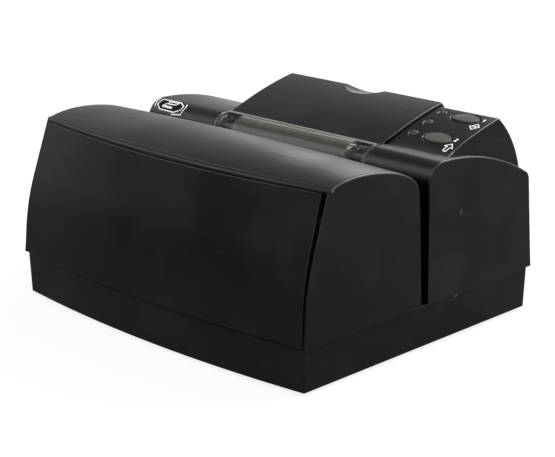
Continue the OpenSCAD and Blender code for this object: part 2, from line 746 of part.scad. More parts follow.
// Pinch arm on the front side of the slot, with two rollers at rest clear of the form.
module form_pinch_arm() place() inner_colour() {
  difference() {
    union() {
      bar_x(arm_axis, 3, -34, 34);
      for (x = window_x, s = [-1, 1]) along_x(x + s * 5.6 - 1, x + s * 5.6 + 1) {
        translate(arm_roller) circle(2.6, $fn = 48);
        polygon([[64.2, 43], [69, 43], [70.9, 32], [66, 32]]);
      }
    }
    bar_x(arm_axis, 2 + run_gap, -35, 35);
  }
  for (x = window_x) bar_x(arm_roller, 1.2, x - 6, x + 6);
}
module form_pinch_rollers() place() rubber_colour()
  for (x = window_x) difference() {
    bar_x(arm_roller, 4.6, x - 4.3, x + 4.3);
    bar_x(arm_roller, 1.2 + run_gap, x - 5, x + 5);
  }
module pinch_pivot_rod() place() steel_colour() bar_x(arm_axis, 2, -40, 40);

// Bent steel frame that carries the rod, the rail, the belt drive and the pinch arm.
frame_x = 86;
module print_frame() place() color([0.62, 0.63, 0.65]) {
  for (s = [-1, 1]) difference() {
    along_x(s > 0 ? frame_x : -frame_x - 1.2, s > 0 ? frame_x + 1.2 : -frame_x) polygon([
      [32, 21], [62, 21], [62, 36], [66, 42], [60, 56], [46, 77.4], [34, 77.4], [34, 50], [32, 44]
    ]);
    bar_x(rod_axis, rod_r, s > 0 ? frame_x - 1 : -frame_x - 3, s > 0 ? frame_x + 3 : -frame_x + 1);
  }
  difference() {
    translate([-frame_x - 0.2, 30, 20.8]) cube([2 * frame_x + 0.4, 40, 1.2]);
    for (x = [-screw_x, screw_x], y = [screw_y[0], screw_y[1]])
      translate([x, y, 19]) cylinder(r = 4.6, h = 5, $fn = 48);
    for (i = [-3 : 3]) translate([i * 20 - 6, 33, 20]) cube([12, 4, 3]);
    for (x = [-50, 50], y = [36, 62]) translate([x, y, 19]) cylinder(r = 1.6, h = 5, $fn = 32);
  }
  // Uprights for the pinch arm's rod, the motor and the idler pulley.
  for (s = [-1, 1]) difference() {
    along_x(s * 38.6 - 0.6, s * 38.6 + 0.6) polygon([
      [59, 21.5], [69.8, 21.5], [69.8, 46], [68.6, 47.4], [64.4, 47.4], [63, 45.4]
    ]);
    bar_x(arm_axis, 2, s * 38.6 - 2, s * 38.6 + 2);
  }
  for (x = [-pulley_x, pulley_x]) difference() {
    translate([x - 8.6, belt_y - 5.4, 21.5]) cube([17.2, 1, 16.8]);
    if (x > 0) disc_y(x, 2, belt_y - 7, belt_y - 3);
  }
  disc_y(-pulley_x, 1.5, belt_y - 5, belt_y + 4.4);
}
module carriage_rod() place() steel_colour() bar_x(rod_axis, rod_r, -frame_x - 1.2, frame_x + 1.2);
module carriage_rail() place() color([0.62, 0.63, 0.65])
  along_x(-frame_x, frame_x) polygon([
    [33.4, 75.9], [37, 75.9], [37, 72.3], [38.2, 72.3], [38.2, 77.1], [33.4, 77.1]
  ]);

// Carriage: a holder that slides on the rod and has a fork round the rail; open to the front.
module carriage() place() inner_colour() translate([park_x, 0, 0]) {
  difference() {
    union() {
      along_x(-15, 15) polygon([
        [40.5, 36.2], [57, 36.2], [57, 48], [70.6, 50.5], [70.6, 62], [60, 71.5], [40.5, 71.5]
      ]);
      along_x(-8, 8) polygon([
        [35.4, 69.6], [42, 69.6], [42, 75], [38.35, 75], [38.35, 71.9], [36.85, 71.9], [36.85, 75],
        [35.4, 75]
      ]);
      bar_x(rod_axis, 5.4, -17, 17);
      for (s = [-1, 1]) along_x(s * 8 - 1, s * 8 + 1) {
        translate(latch_axis) circle(1.9, $fn = 32);
        polygon([[39.3, 39.1], [41, 38], [41, 44], [39.3, 42.9]]);
      }
      // Clamp on the upper run of the belt.
      translate([-7, 38.3, 33.4]) cube([14, 6.4, 3.4]);
    }
    translate([-8, belt_y - 2.6, belt_axis_z + pulley_r - 0.8]) cube([16, 5.2, 1.6]);
    along_x(-11, 11) polygon([
      [30, 44.4], [55, 44.4], [67.4, 53], [67.4, 60.4], [58.4, 69.3], [30, 69.3]
    ]);
    translate([-8, 60, 52.4]) cube([16, 14, 8]);
    bar_x(rod_axis, rod_r + run_gap, -20, 20);
    bar_x(latch_axis, 0.8 + run_gap, -10, 10);
  }
}
module ink_cartridge() place() color([0.1, 0.1, 0.11]) translate([park_x, 0, 0]) {
  along_x(-10.6, 10.6) polygon([
    [41, 44.8], [54.8, 44.8], [67, 53.2], [67, 60.2], [58.2, 68.9], [41, 68.9]
  ]);
  translate([-7.6, 66, 52.8]) cube([15.2, 5.3, 7]);
}
module cartridge_latch() place() color([0.1, 0.32, 0.5]) translate([park_x, 0, 0]) {
  bar_x(latch_axis, 0.8, -9, 9);
  along_x(-6.6, 6.6) {
    translate(latch_axis) circle(1.1, $fn = 32);
    polygon([[38.6, 41], [40, 41], [40, 63.4], [36.6, 65.4], [36, 64.4], [38.6, 62.8]]);
  }
}

// Carriage belt, its pulleys and the motor, all on axes along y.
module disc_y(x, r, y0, y1, z = belt_axis_z)
  translate([x, y1, z]) rotate([90, 0, 0]) cylinder(r = r, h = y1 - y0, $fn = 64);
module carriage_belt() place() rubber_colour() difference() {
  union() {
    for (x = [-pulley_x, pulley_x]) disc_y(x, pulley_r + 0.6, belt_y - 2.5, belt_y + 2.5);
    translate([-pulley_x, belt_y - 2.5, belt_axis_z - pulley_r - 0.6])
      cube([2 * pulley_x, 5, 2 * pulley_r + 1.2]);
  }
  for (x = [-pulley_x, pulley_x]) disc_y(x, pulley_r - 0.6, belt_y - 4, belt_y + 4);
  translate([-pulley_x, belt_y - 4, belt_axis_z - pulley_r + 0.6])
    cube([2 * pulley_x, 8, 2 * pulley_r - 1.2]);
}
module belt_pulley(x) difference() {
  union() {
    disc_y(x, pulley_r - 0.7, belt_y - 2.8, belt_y + 2.8);
    for (y = [[-3.4, -2.7], [2.7, 3.4]]) disc_y(x, pulley_r + 0.5, belt_y + y[0], belt_y + y[1]);
  }
  disc_y(x, 1.5 + run_gap, belt_y - 5, belt_y + 5);
}
module drive_pulley() place() color([0.8, 0.66, 0.3]) belt_pulley(pulley_x);
module idler_pulley() place() color([0.9, 0.9, 0.86]) belt_pulley(-pulley_x);
module carriage_motor() place() steel_colour() {
  disc_y(pulley_x, 6, belt_y - 15.8, belt_y - 5.5);
  disc_y(pulley_x, 1.5, belt_y - 6, belt_y + 4.6);
}

// Trough that the paper roll drops into, between the two side plates.
bay_c = [119.5, 52];
bay_x0 = -43;
bay_x1 = 51.6;
module roll_bay() place() inner_colour() {
  difference() {
    along_x(bay_x0, bay_x1) intersection() {
      union() {
        translate(bay_c) circle(bay_r + 1.8, $fn = 180);
        translate([bay_c[0] - bay_r - 1.8, bay_c[1]]) square([2 * bay_r + 3.6, 20]);
      }
      polygon([[80, 15], [160, 15], [160, 63.4], [130, 63.4], [110, 60], [80, 60]]);
    }
    along_x(bay_x0 + 1.8, bay_x1 - 1.8) {
      translate(bay_c) circle(bay_r, $fn = 180);
      translate([bay_c[0] - bay_r, bay_c[1]]) square([2 * bay_r, 30]);
    }
  }
  // Studs to the side plates, and two arms under the receipt print head.
  for (z = [30, 50]) {
    bar_x([119, z], 3.4, bay_x1 - 1, plate_x - 0.05);
    bar_x([119, z], 1.95, plate_x - 1, plate_x + 3);
  }
  for (z = [27, 42]) {
    bar_x([112, z], 3.4, -plate_x + 0.05, bay_x0 + 1);
    bar_x([112, z], 1.95, -plate_x - 3, -plate_x + 1);
  }
  for (x = [-31, 35]) along_x(x, x + 4) polygon([
    [83, 56.4], [90.6, 50], [90.6, 58], [87, 59.9], [83, 59.9]
  ]);
}
module roll_cover_pin() place() steel_colour()
  bar_x(lid_axis, pin_r, lid_x0 - 4.2, block_x0 + 3.8);

module over_shoulder() difference() {
  translate([92.8, 60]) square([70, 50]);
  translate(shoulder_c) circle(shoulder_r + 0.4, $fn = 360);
}
module roll_cover() place() case_colour() {
  difference() {
    union() {
      along_x(lid_x0, lid_x1) intersection() {
        difference() {
          lid_region();
          lid_region(wall);
        }
        over_shoulder();
      }
      // Wall under the thumb scoop.
      along_x(-13, 22) intersection() {
        difference() {
          lid_region(0.6);
          lid_region(4.6);
        }
        translate([120, 85]) square([40, 30]);
      }
      // Front edge, left side wall and right rib.
      along_x(lid_x0, lid_x1) intersection() {
        lid_region();
        translate([92.8, 81.5]) square([3.4, 6]);
      }
      along_x(lid_x0, lid_x0 + 2) intersection() {
        lid_region(0.6);
        over_shoulder();
        translate([97, 60]) square([70, 50]);
      }
      along_x(lid_x1 - 2, lid_x1) intersection() {
        difference() {
          lid_region(0.6);
          lid_region(6);
        }
        over_shoulder();
        translate([98, 60]) square([70, 50]);
      }
    }
    thumb_scoop();
  }
  for (x = [-30, 36]) difference() {
    along_x(x - 1.5, x + 1.5) {
      translate(lid_axis) circle(3, $fn = 48);
      polygon([[93.6, 80], [99.4, 79.4], [101, 84.6], [94, 82.2]]);
    }
    bar_x(lid_axis, pin_r + run_gap, x - 3, x + 3);
  }
}
// Thumb scoop: a wide shallow hollow that runs out over the ridge.
module thumb_scoop() translate([5.5, 136, 123.2]) sphere(30, $fn = 120);

// Electronics in the base.
module main_board() place() color([0.05, 0.3, 0.14]) difference() {
  translate([-70, 94, 6.4]) cube([130, 52, 1.6]);
  for (x = [-66, 56], y = [98, 142]) translate([x, y, 5]) cylinder(r = 1.6, h = 4, $fn = 32);
}
module board_parts() place() color([0.08, 0.08, 0.09]) {
  translate([-20, 104, 8]) cube([18, 18, 1.8]);
  translate([12, 106, 8]) cube([12, 8, 1.6]);
  translate([12, 122, 8]) cube([12, 8, 1.6]);
  for (x = [34, 46]) translate([x, 130, 8]) cylinder(r = 4, h = 9, $fn = 48);
  translate([-60, 104, 8]) cube([22, 6, 8]);
}
module data_socket() place() color([0.1, 0.1, 0.1]) difference() {
  translate([data_x - 8, 135, 8.1]) cube([16, 16.2, 11.8]);
  translate([data_x - 5.9, 138, 10]) cube([11.8, 20, 6.8]);
  translate([data_x - 3, 138, 16]) cube([6, 20, 2.4]);
}
module power_jack() place() color([0.1, 0.1, 0.1]) {
  difference() {
    translate([power_x - 5.2, 138, 8.1]) cube([10.4, 13.2, 11.4]);
    translate([power_x, 142, 14]) rotate([-90, 0, 0]) cylinder(r = 3.2, h = 20, $fn = 48);
  }
  translate([power_x, 141, 14]) rotate([-90, 0, 0]) cylinder(r = 1, h = 9.4, $fn = 32);
}

base_casing();
rubber_feet();
casing_screws();
front_casing();
rear_casing();
front_cover();
cover_pivot_pins();
roll_cover();
roll_cover_pin();
tear_bar();
exit_brackets();
pinch_axles();
pinch_wheels();
button_1();
button_2();
button_switches();
status_lenses();
button_board();
print_frame();
carriage_rod();
carriage_rail();
carriage();
ink_cartridge();
cartridge_latch();
carriage_belt();
drive_pulley();
idler_pulley();
carriage_motor();
exit_shaft();
exit_rollers();
platen_roll();
receipt_head();
exit_gear();
idler_gear();
feed_pinion();
feed_motor();
gear_plate();
form_shaft();
form_rollers();
form_gear();
form_pinion();
form_motor();
side_plate();
form_pinch_arm();
form_pinch_rollers();
pinch_pivot_rod();
roll_bay();
main_board();
board_parts();
data_socket();
power_jack();
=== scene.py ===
"""Dresses the packed model of a slip validation printer and lights it for its picture.

Lengths are metres. spot() turns the drawing's millimetres (y = 0 at the front corners,
z = 0 at the bottom edge of the base) into places in the model.
"""

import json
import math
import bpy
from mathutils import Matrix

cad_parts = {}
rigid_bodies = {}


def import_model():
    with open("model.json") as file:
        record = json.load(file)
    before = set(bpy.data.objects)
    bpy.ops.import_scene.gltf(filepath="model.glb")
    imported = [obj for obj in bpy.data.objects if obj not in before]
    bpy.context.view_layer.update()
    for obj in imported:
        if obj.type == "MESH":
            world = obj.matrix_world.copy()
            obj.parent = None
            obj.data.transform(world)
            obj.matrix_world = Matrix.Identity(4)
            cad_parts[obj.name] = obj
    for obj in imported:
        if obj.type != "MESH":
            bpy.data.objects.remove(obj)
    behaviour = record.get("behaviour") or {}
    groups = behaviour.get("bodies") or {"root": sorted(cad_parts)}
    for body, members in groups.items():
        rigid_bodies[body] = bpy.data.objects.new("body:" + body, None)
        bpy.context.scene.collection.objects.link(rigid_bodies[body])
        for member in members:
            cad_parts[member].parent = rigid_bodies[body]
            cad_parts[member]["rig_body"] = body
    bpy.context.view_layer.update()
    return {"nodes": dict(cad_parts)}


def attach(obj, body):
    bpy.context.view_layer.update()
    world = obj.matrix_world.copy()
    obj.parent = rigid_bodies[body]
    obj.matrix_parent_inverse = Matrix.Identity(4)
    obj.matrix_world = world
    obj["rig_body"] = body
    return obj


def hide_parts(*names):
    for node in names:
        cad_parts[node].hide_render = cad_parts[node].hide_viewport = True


bl_info = {
    "name": "Validation Printer",
    "version": (1, 0, 0),
    "blender": (4, 5, 0),
    "location": "3D Viewport > Sidebar > Printer",
    "description": "Finishes, marks and small parts of a slip validation printer",
    "category": "Object",
}

import bmesh
import bpy
from bpy.props import FloatProperty, FloatVectorProperty, IntProperty, PointerProperty
from mathutils import Matrix, Vector
from mathutils.bvhtree import BVHTree

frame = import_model()

MM = 0.001
# Distances from the drawing's origin to the model's, in millimetres.
FRONT_TO_MIDDLE = 73.8
FOOT_HEIGHT = 1.5

# Slot of each node, from its material's name in the model.
SLOTS = {name: thing.data.materials[0].name.split(".")[0]
         for name, thing in frame["nodes"].items()}


def spot(x, y, z):
    """The place in the model of one in the drawing."""
    return Vector((x, y - FRONT_TO_MIDDLE, z + FOOT_HEIGHT)) * MM


def box_of(node):
    """Lowest and highest corner of a node of the model."""
    thing = frame["nodes"][node]
    places = [thing.matrix_world @ Vector(corner) for corner in thing.bound_box]
    return [Vector([pick(place[axis] for place in places) for axis in range(3)])
            for pick in (min, max)]


def placed(name, data):
    """A new object in the scene."""
    thing = bpy.data.objects.new(name, data)
    bpy.context.scene.collection.objects.link(thing)
    return thing


# Settings

class CasingSettings(bpy.types.PropertyGroup):
    """Black moulded casings."""
    colour: FloatVectorProperty(
        name="Plastic Colour", description="Colour of the black casings", subtype="COLOR",
        default=(0.004, 0.004, 0.0041), min=0, max=1)
    roughness: FloatProperty(
        name="Roughness", description="How matt the moulded casings are", default=0.36,
        min=0.1, max=1)
    edge_radius: FloatProperty(
        name="Edge Radius", description="Rounding of the casings' edges", default=0.7 * MM,
        min=0.1 * MM, max=1.5 * MM, unit="LENGTH")
    grain_size: FloatProperty(
        name="Grain Size", description="Width of one pip of the moulded grain",
        default=0.45 * MM, min=0.1 * MM, max=2 * MM, unit="LENGTH")
    grain_depth: FloatProperty(
        name="Grain Depth", description="Depth of the moulded grain", default=0.02 * MM,
        min=0, max=0.2 * MM, unit="LENGTH")
    dust: FloatProperty(
        name="Dust", description="Share of the surface with faint dust and smears",
        default=0.02, min=0, max=1, subtype="FACTOR")


class MarkSettings(bpy.types.PropertyGroup):
    """White printed marks."""
    colour: FloatVectorProperty(
        name="Ink Colour", description="Colour of the printed marks", subtype="COLOR",
        default=(0.88, 0.88, 0.87), min=0, max=1)
    stroke: FloatProperty(
        name="Stroke", description="Line width of the marks on the panel", default=0.44 * MM,
        min=0.2 * MM, max=1.5 * MM, unit="LENGTH")
    lift: FloatProperty(
        name="Ink Height", description="How far the ink stands off the plastic",
        default=0.06 * MM, min=0.02 * MM, max=0.2 * MM, unit="LENGTH")


class TearBarSettings(bpy.types.PropertyGroup):
    """Clear tear bar and its saw edge."""
    tint: FloatVectorProperty(
        name="Tint", description="Tint of the clear bar", subtype="COLOR",
        default=(0.3, 0.295, 0.265), min=0, max=1)
    # The pitch and width below are of the painted glints on the saw teeth: pale boxes that stand
    # for the light the clear teeth catch.
    tooth_pitch: FloatProperty(
        name="Tooth Pitch", description="Distance from one saw tooth to the next",
        default=1.6 * MM, min=1 * MM, max=3 * MM, unit="LENGTH")
    glint_width: FloatProperty(
        name="Glint Width", description="Width of the tip of a saw tooth", default=0.8 * MM,
        min=0.2 * MM, max=1 * MM, unit="LENGTH")


class SmallPartSettings(bpy.types.PropertyGroup):
    """Rows of small parts in the works."""
    belt_pitch: FloatProperty(
        name="Belt Pitch", description="Distance between the teeth of the carriage belt",
        default=2 * MM, min=1 * MM, max=4 * MM, unit="LENGTH")
    contacts: IntProperty(
        name="Contacts", description="Number of contacts in the data socket", default=8,
        min=4, max=12)


class StageSettings(bpy.types.PropertyGroup):
    """Camera, floor and studio light."""
    lens: FloatProperty(
        name="Focal Length", description="Camera focal length on a 36 mm wide sensor",
        default=104.77, min=20, max=300)
    softbox: FloatProperty(
        name="Softbox Power", description="Power of the large lamp overhead", default=7.0,
        min=0, max=40, subtype="POWER")
    room: FloatProperty(
        name="Room Light", description="Level of the even light from all round",
        default=0.6, min=0, max=1)


SETTINGS = {
    "printer_casing": CasingSettings, "printer_marks": MarkSettings,
    "printer_tear_bar": TearBarSettings, "printer_small_parts": SmallPartSettings,
    "printer_stage": StageSettings,
}


# Shader groups

def socket(tree, name, direction, kind="NodeSocketFloat", value=None):
    """Adds a named socket to the outside of a node group."""
    made = tree.interface.new_socket(name=name, in_out=direction, socket_type=kind)
    if value is not None:
        made.default_value = value


def new_group(name, inputs, outputs):
    """Shader node group with float inputs {name: default} and float outputs."""
    if name in bpy.data.node_groups:
        return bpy.data.node_groups[name], None, None
    tree = bpy.data.node_groups.new(name, "ShaderNodeTree")
    for label, value in inputs.items():
        socket(tree, label, "INPUT", value=value)
    for label in outputs:
        socket(tree, label, "OUTPUT")
    return tree, tree.nodes.new("NodeGroupInput"), tree.nodes.new("NodeGroupOutput")


def put(tree, value, target):
    """Feeds a socket from another socket, or sets it to a number."""
    if isinstance(value, (int, float)):
        target.default_value = value
    else:
        tree.links.new(value, target)


def maths(tree, operation, a, b=None, clamp=False):
    """Result of a sum on sockets or numbers."""
    node = tree.nodes.new("ShaderNodeMath")
    node.operation = operation
    node.use_clamp = clamp
    put(tree, a, node.inputs[0])
    if b is not None:
        put(tree, b, node.inputs[1])
    return node.outputs[0]


def product(tree, result, *others):
    """A socket multiplied by all the others."""
    for other in others:
        result = maths(tree, "MULTIPLY", result, other)
    return result


def object_place(tree):
    """Socket with the place on the object that is shaded."""
    return tree.nodes.new("ShaderNodeTexCoord").outputs["Object"]


def split_place(tree):
    """Sockets with its x, y and z."""
    parts = tree.nodes.new("ShaderNodeSeparateXYZ")
    put(tree, object_place(tree), parts.inputs[0])
    return parts.outputs


def noise(tree, scale, detail=2.0, stretch=None):
    """Noise on object coordinates; scale is a socket or a number, per metre."""
    vector = object_place(tree)
    if stretch is not None:
        mapping = tree.nodes.new("ShaderNodeMapping")
        mapping.inputs["Scale"].default_value = stretch
        tree.links.new(vector, mapping.inputs["Vector"])
        vector = mapping.outputs[0]
    node = tree.nodes.new("ShaderNodeTexNoise")
    node.inputs["Detail"].default_value = detail
    tree.links.new(vector, node.inputs["Vector"])
    put(tree, scale, node.inputs["Scale"])
    return node.outputs[0]


def ramp(tree, value, low, high, out_low=0.0, out_high=1.0):
    """Smooth change from out_low to out_high while value goes from low to high."""
    node = tree.nodes.new("ShaderNodeMapRange")
    node.interpolation_type = "SMOOTHSTEP"
    for label, number in (("From Min", low), ("From Max", high), ("To Min", out_low),
                          ("To Max", out_high)):
        node.inputs[label].default_value = number
    tree.links.new(value, node.inputs["Value"])
    return node.outputs[0]


def band(tree, value, rise, fall):
    """Mask that fades in over rise and out over fall, each given as (from, to)."""
    return product(tree, ramp(tree, value, *rise), ramp(tree, value, *fall, 1, 0))


def moulded_grain_group():
    """Fine pips of a textured mould, and slow changes of its gloss."""
    tree, start, end = new_group("Moulded Grain", {"Pip Size": 0.00045}, ("Height", "Tone"))
    if start:
        per_metre = maths(tree, "DIVIDE", 1.0, start.outputs["Pip Size"])
        fine = noise(tree, per_metre, 1.0)
        coarse = noise(tree, product(tree, per_metre, 0.31))
        height = maths(tree, "ADD", product(tree, fine, 0.7), product(tree, coarse, 0.3))
        put(tree, height, end.inputs["Height"])
        put(tree, ramp(tree, noise(tree, 24.0, 3.0), 0.35, 0.65), end.inputs["Tone"])
    return tree


def handling_wear_group():
    """Faint dust, smears and short scuffs."""
    tree, start, end = new_group("Handling Wear", {"Amount": 0.1}, ("Dust", "Scuff"))
    if start:
        patches = ramp(tree, noise(tree, 38.0, 4.0), 0.48, 0.72)
        specks = ramp(tree, noise(tree, 900.0, 1.0), 0.66, 0.74)
        dust = maths(tree, "ADD", product(tree, patches, 0.7), product(tree, specks, 0.5))
        lines = ramp(tree, noise(tree, 60.0, stretch=(1.0, 1.0, 14.0)), 0.7, 0.76)
        for mask, label in ((dust, "Dust"), (lines, "Scuff")):
            amount = maths(tree, "MULTIPLY", mask, start.outputs["Amount"], clamp=True)
            put(tree, amount, end.inputs[label])
    return tree


# Side walls of the upper casings, in metres: half the width and the height at the seam, and
# the lean of the wall for each metre of height.
HALF_WIDTH, SEAM_HEIGHT, SIDE_DRAFT = 0.095, 0.0215, 0.029
# Where the shade of the slot's walls fades, as (from, to) in metres: under the outer skin and
# above the seam, then for the front and the rear wall its front, its back and its top.
SKIN_FADE, SEAM_FADE = (0.0002, 0.0004), (0.0211, 0.0215)
SLOT_WALLS = [((-0.0009, -0.0007), (0.002, 0.003), (0.0715, 0.0735)),
              ((0.002, 0.003), (0.0075, 0.0085), (0.0775, 0.081))]
# Right edge of the front cover: its distance from the side wall at height 0, and how much that
# grows for each metre of height.
COVER_INSET, COVER_SLANT = 0.00088, 0.0316
# Where the shade beside the cover fades: at the side wall, the cover's edge, its back and top.
GAP_WALL, GAP_EDGE = (0.00072, 0.0008), (0.0, 0.0002)
GAP_BACK, GAP_TOP = (-0.06, -0.055), (0.0795, 0.081)


def deep_shade_group():
    """Walls of the slot and of the gap beside the front cover, where no light reaches."""
    tree, start, end = new_group("Deep Shade", {}, ("Shade",))
    if start:
        x, y, z = split_place(tree)
        wall = maths(tree, "ADD", product(tree, z, -SIDE_DRAFT),
                     HALF_WIDTH + SEAM_HEIGHT * SIDE_DRAFT)
        under_skin = maths(tree, "SUBTRACT", wall, maths(tree, "ABSOLUTE", x))
        walls = [product(tree, band(tree, y, front, back), ramp(tree, z, *top, 1, 0))
                 for front, back, top in SLOT_WALLS]
        slot = product(tree, maths(tree, "ADD", *walls, clamp=True),
                       ramp(tree, under_skin, *SKIN_FADE), ramp(tree, z, *SEAM_FADE))
        inset = maths(tree, "SUBTRACT", wall, x)
        edge = maths(tree, "ADD", product(tree, z, COVER_SLANT), COVER_INSET)
        gap = product(tree, ramp(tree, inset, *GAP_WALL),
                      ramp(tree, maths(tree, "SUBTRACT", edge, inset), *GAP_EDGE),
                      ramp(tree, y, *GAP_BACK, 1, 0), ramp(tree, z, *GAP_TOP, 1, 0))
        put(tree, maths(tree, "ADD", slot, gap, clamp=True), end.inputs["Shade"])
    return tree


SCUFF_COLOUR = (0.075, 0.075, 0.07)
# Pale scuffs on the casings and the roll cover: place and radius in the model's millimetres.
SCUFFS = [((93.9, 27.4, 59.3), 1.6), ((93.6, 26.1, 20.6), 2.0), ((44.2, -55, 88.3), 0.8),
          ((50.1, -55.3, 88.2), 0.9), ((93.1, -55.5, 85.7), 1.3), ((30.6, 46, 94.1), 1.3),
          ((38, 51.2, 95.4), 1.4), ((1.1, 35.9, 91.1), 0.9)]
# Share of its radius within which a scuff doesn't fade.
SCUFF_CORE = 0.2


def scuff_marks_group():
    """A few pale scuffs at fixed places."""
    tree, start, end = new_group("Scuff Marks", {}, ("Mark",))
    if start:
        place = object_place(tree)
        total = 0.0
        for centre, radius in SCUFFS:
            gap = tree.nodes.new("ShaderNodeVectorMath")
            gap.operation = "DISTANCE"
            put(tree, place, gap.inputs[0])
            gap.inputs[1].default_value = Vector(centre) * MM
            spread = ramp(tree, gap.outputs["Value"], SCUFF_CORE * radius * MM, radius * MM, 1, 0)
            total = maths(tree, "MAXIMUM", spread, total)
        grit = ramp(tree, noise(tree, 1100.0), 0.46, 0.56)
        put(tree, product(tree, total, grit), end.inputs["Mark"])
    return tree


# Edges of the control panel, as (from, to) in metres, and its share of the casing's roughness.
PANEL_LEFT, PANEL_RIGHT = (0.0539, 0.0541), (0.0888, 0.0892)
PANEL_FRONT, PANEL_FOOT = (0.02, 0.026), (0.0825, 0.0835)
PANEL_ROUGHNESS = 0.62


def panel_sheen_group():
    """Control panel, which is smoother than the casing round it."""
    tree, start, end = new_group("Panel Sheen", {}, ("Zone",))
    if start:
        x, y, z = split_place(tree)
        zone = product(tree, band(tree, x, PANEL_LEFT, PANEL_RIGHT),
                       ramp(tree, y, *PANEL_FRONT), ramp(tree, z, *PANEL_FOOT))
        put(tree, zone, end.inputs["Zone"])
    return tree


# Windows at the ends of the tear bar, in metres: the bar's middle, the distance from there to
# a window's middle, the fade at its edge, and how much a window covers.
BAR_MIDDLE, WINDOW_DISTANCE = 0.0042, 0.0427
WINDOW_EDGE, WINDOW_COVER = (0.0052, 0.006), 0.12


def bar_ends_group():
    """Clearer windows over the pinch wheels at both ends of the tear bar."""
    tree, start, end = new_group("Bar Ends", {}, ("Cover",))
    if start:
        from_middle = maths(tree, "SUBTRACT", split_place(tree)[0], BAR_MIDDLE)
        from_window = maths(tree, "SUBTRACT", maths(tree, "ABSOLUTE", from_middle),
                            WINDOW_DISTANCE)
        cover = ramp(tree, maths(tree, "ABSOLUTE", from_window), *WINDOW_EDGE, WINDOW_COVER, 1)
        put(tree, cover, end.inputs["Cover"])
    return tree


def drawn_metal_group():
    """Streaks that drawing, rolling or turning leaves along x."""
    tree, start, end = new_group("Drawn Metal", {"Line Width": 0.00025}, ("Height", "Streak"))
    if start:
        per_metre = maths(tree, "DIVIDE", 1.0, start.outputs["Line Width"])
        lines = noise(tree, per_metre, stretch=(0.04, 1.0, 1.0))
        put(tree, lines, end.inputs["Height"])
        put(tree, ramp(tree, lines, 0.3, 0.7), end.inputs["Streak"])
    return tree


# Materials

def opaque(colour):
    """A colour with an alpha of 1."""
    return tuple(colour[:3]) + (1.0,)


def scaled(colour, factor):
    """A colour made lighter or darker."""
    return tuple(min(1.0, c * factor) for c in colour[:3])


def bare_material(name):
    """A material, its node tree and the output, which is the only node in it."""
    material = bpy.data.materials.new(name)
    material.use_nodes = True
    tree = material.node_tree
    tree.nodes.clear()
    return material, tree, tree.nodes.new("ShaderNodeOutputMaterial")


# Places of the colour sockets among the inputs and the outputs of a Mix node.
MIX_FIRST, MIX_SECOND, MIX_RESULT = 6, 7, 2


class Finish:
    """One material: a Principled shader and the nodes that feed it."""

    def __init__(self, name, colour, roughness, **constants):
        self.material, self.tree, out = bare_material(name)
        self.shader = self.tree.nodes.new("ShaderNodeBsdfPrincipled")
        self.tree.links.new(self.shader.outputs[0], out.inputs["Surface"])
        self.shader.inputs["Base Color"].default_value = opaque(colour)
        self.shader.inputs["Roughness"].default_value = roughness
        for label, value in constants.items():
            self.shader.inputs[label.replace("_", " ")].default_value = value
        self.material.diffuse_color = opaque(colour)

    def group(self, tree, **values):
        """A shader group as a node, with its inputs set."""
        node = self.tree.nodes.new("ShaderNodeGroup")
        node.node_tree = tree
        for label, value in values.items():
            node.inputs[label.replace("_", " ")].default_value = value
        return node

    def blend(self, factor, first, second):
        """Colour between first and second; either may be a socket."""
        node = self.tree.nodes.new("ShaderNodeMix")
        node.data_type = "RGBA"
        self.tree.links.new(factor, node.inputs["Factor"])
        for place, value in ((MIX_FIRST, first), (MIX_SECOND, second)):
            if isinstance(value, bpy.types.NodeSocket):
                self.tree.links.new(value, node.inputs[place])
            else:
                node.inputs[place].default_value = opaque(value)
        return node.outputs[MIX_RESULT]

    def feed(self, label, value):
        """Links a socket to an input of the shader."""
        self.tree.links.new(value, self.shader.inputs[label])

    def bump(self, height, distance):
        """Relief of the surface, as deep as distance in metres."""
        node = self.tree.nodes.new("ShaderNodeBump")
        node.inputs["Distance"].default_value = distance
        self.tree.links.new(height, node.inputs["Height"])
        self.feed("Normal", node.outputs[0])


# How the tone and the roughness of moulded plastic vary, and what shade leaves of its colour.
TONE_LOW, TONE_HIGH, GLOSS_SPREAD, SHADE_LEFT = 0.93, 1.07, 0.03, 0.05


def moulded(name, colour, roughness, pip, depth, dust, dust_colour=(0.2, 0.2, 0.19),
            casing=False, **constants):
    """Textured moulded plastic with a little dust; a casing has its shade and scuffs too."""
    made = Finish(name, colour, roughness, **constants)
    grain = made.group(moulded_grain_group(), Pip_Size=pip).outputs
    wear = made.group(handling_wear_group(), Amount=dust).outputs
    tone = made.blend(grain["Tone"], scaled(colour, TONE_LOW), scaled(colour, TONE_HIGH))
    tone = made.blend(wear["Dust"], tone, dust_colour)
    tone = made.blend(wear["Scuff"], tone, scaled(dust_colour, 1.3))
    level = ramp(made.tree, grain["Tone"], 0, 1, roughness - GLOSS_SPREAD,
                 roughness + GLOSS_SPREAD)
    level = maths(made.tree, "ADD", level, product(made.tree, wear["Dust"], 0.3), clamp=True)
    if casing:
        shade = made.group(deep_shade_group()).outputs["Shade"]
        tone = made.blend(shade, tone, scaled(colour, SHADE_LEFT))
        mark = made.group(scuff_marks_group()).outputs["Mark"]
        tone = made.blend(mark, tone, SCUFF_COLOUR)
        zone = made.group(panel_sheen_group()).outputs["Zone"]
        level = product(made.tree, level, ramp(made.tree, zone, 0, 1, 1, PANEL_ROUGHNESS))
    made.feed("Base Color", tone)
    made.feed("Roughness", level)
    made.bump(grain["Height"], depth)
    return made.material


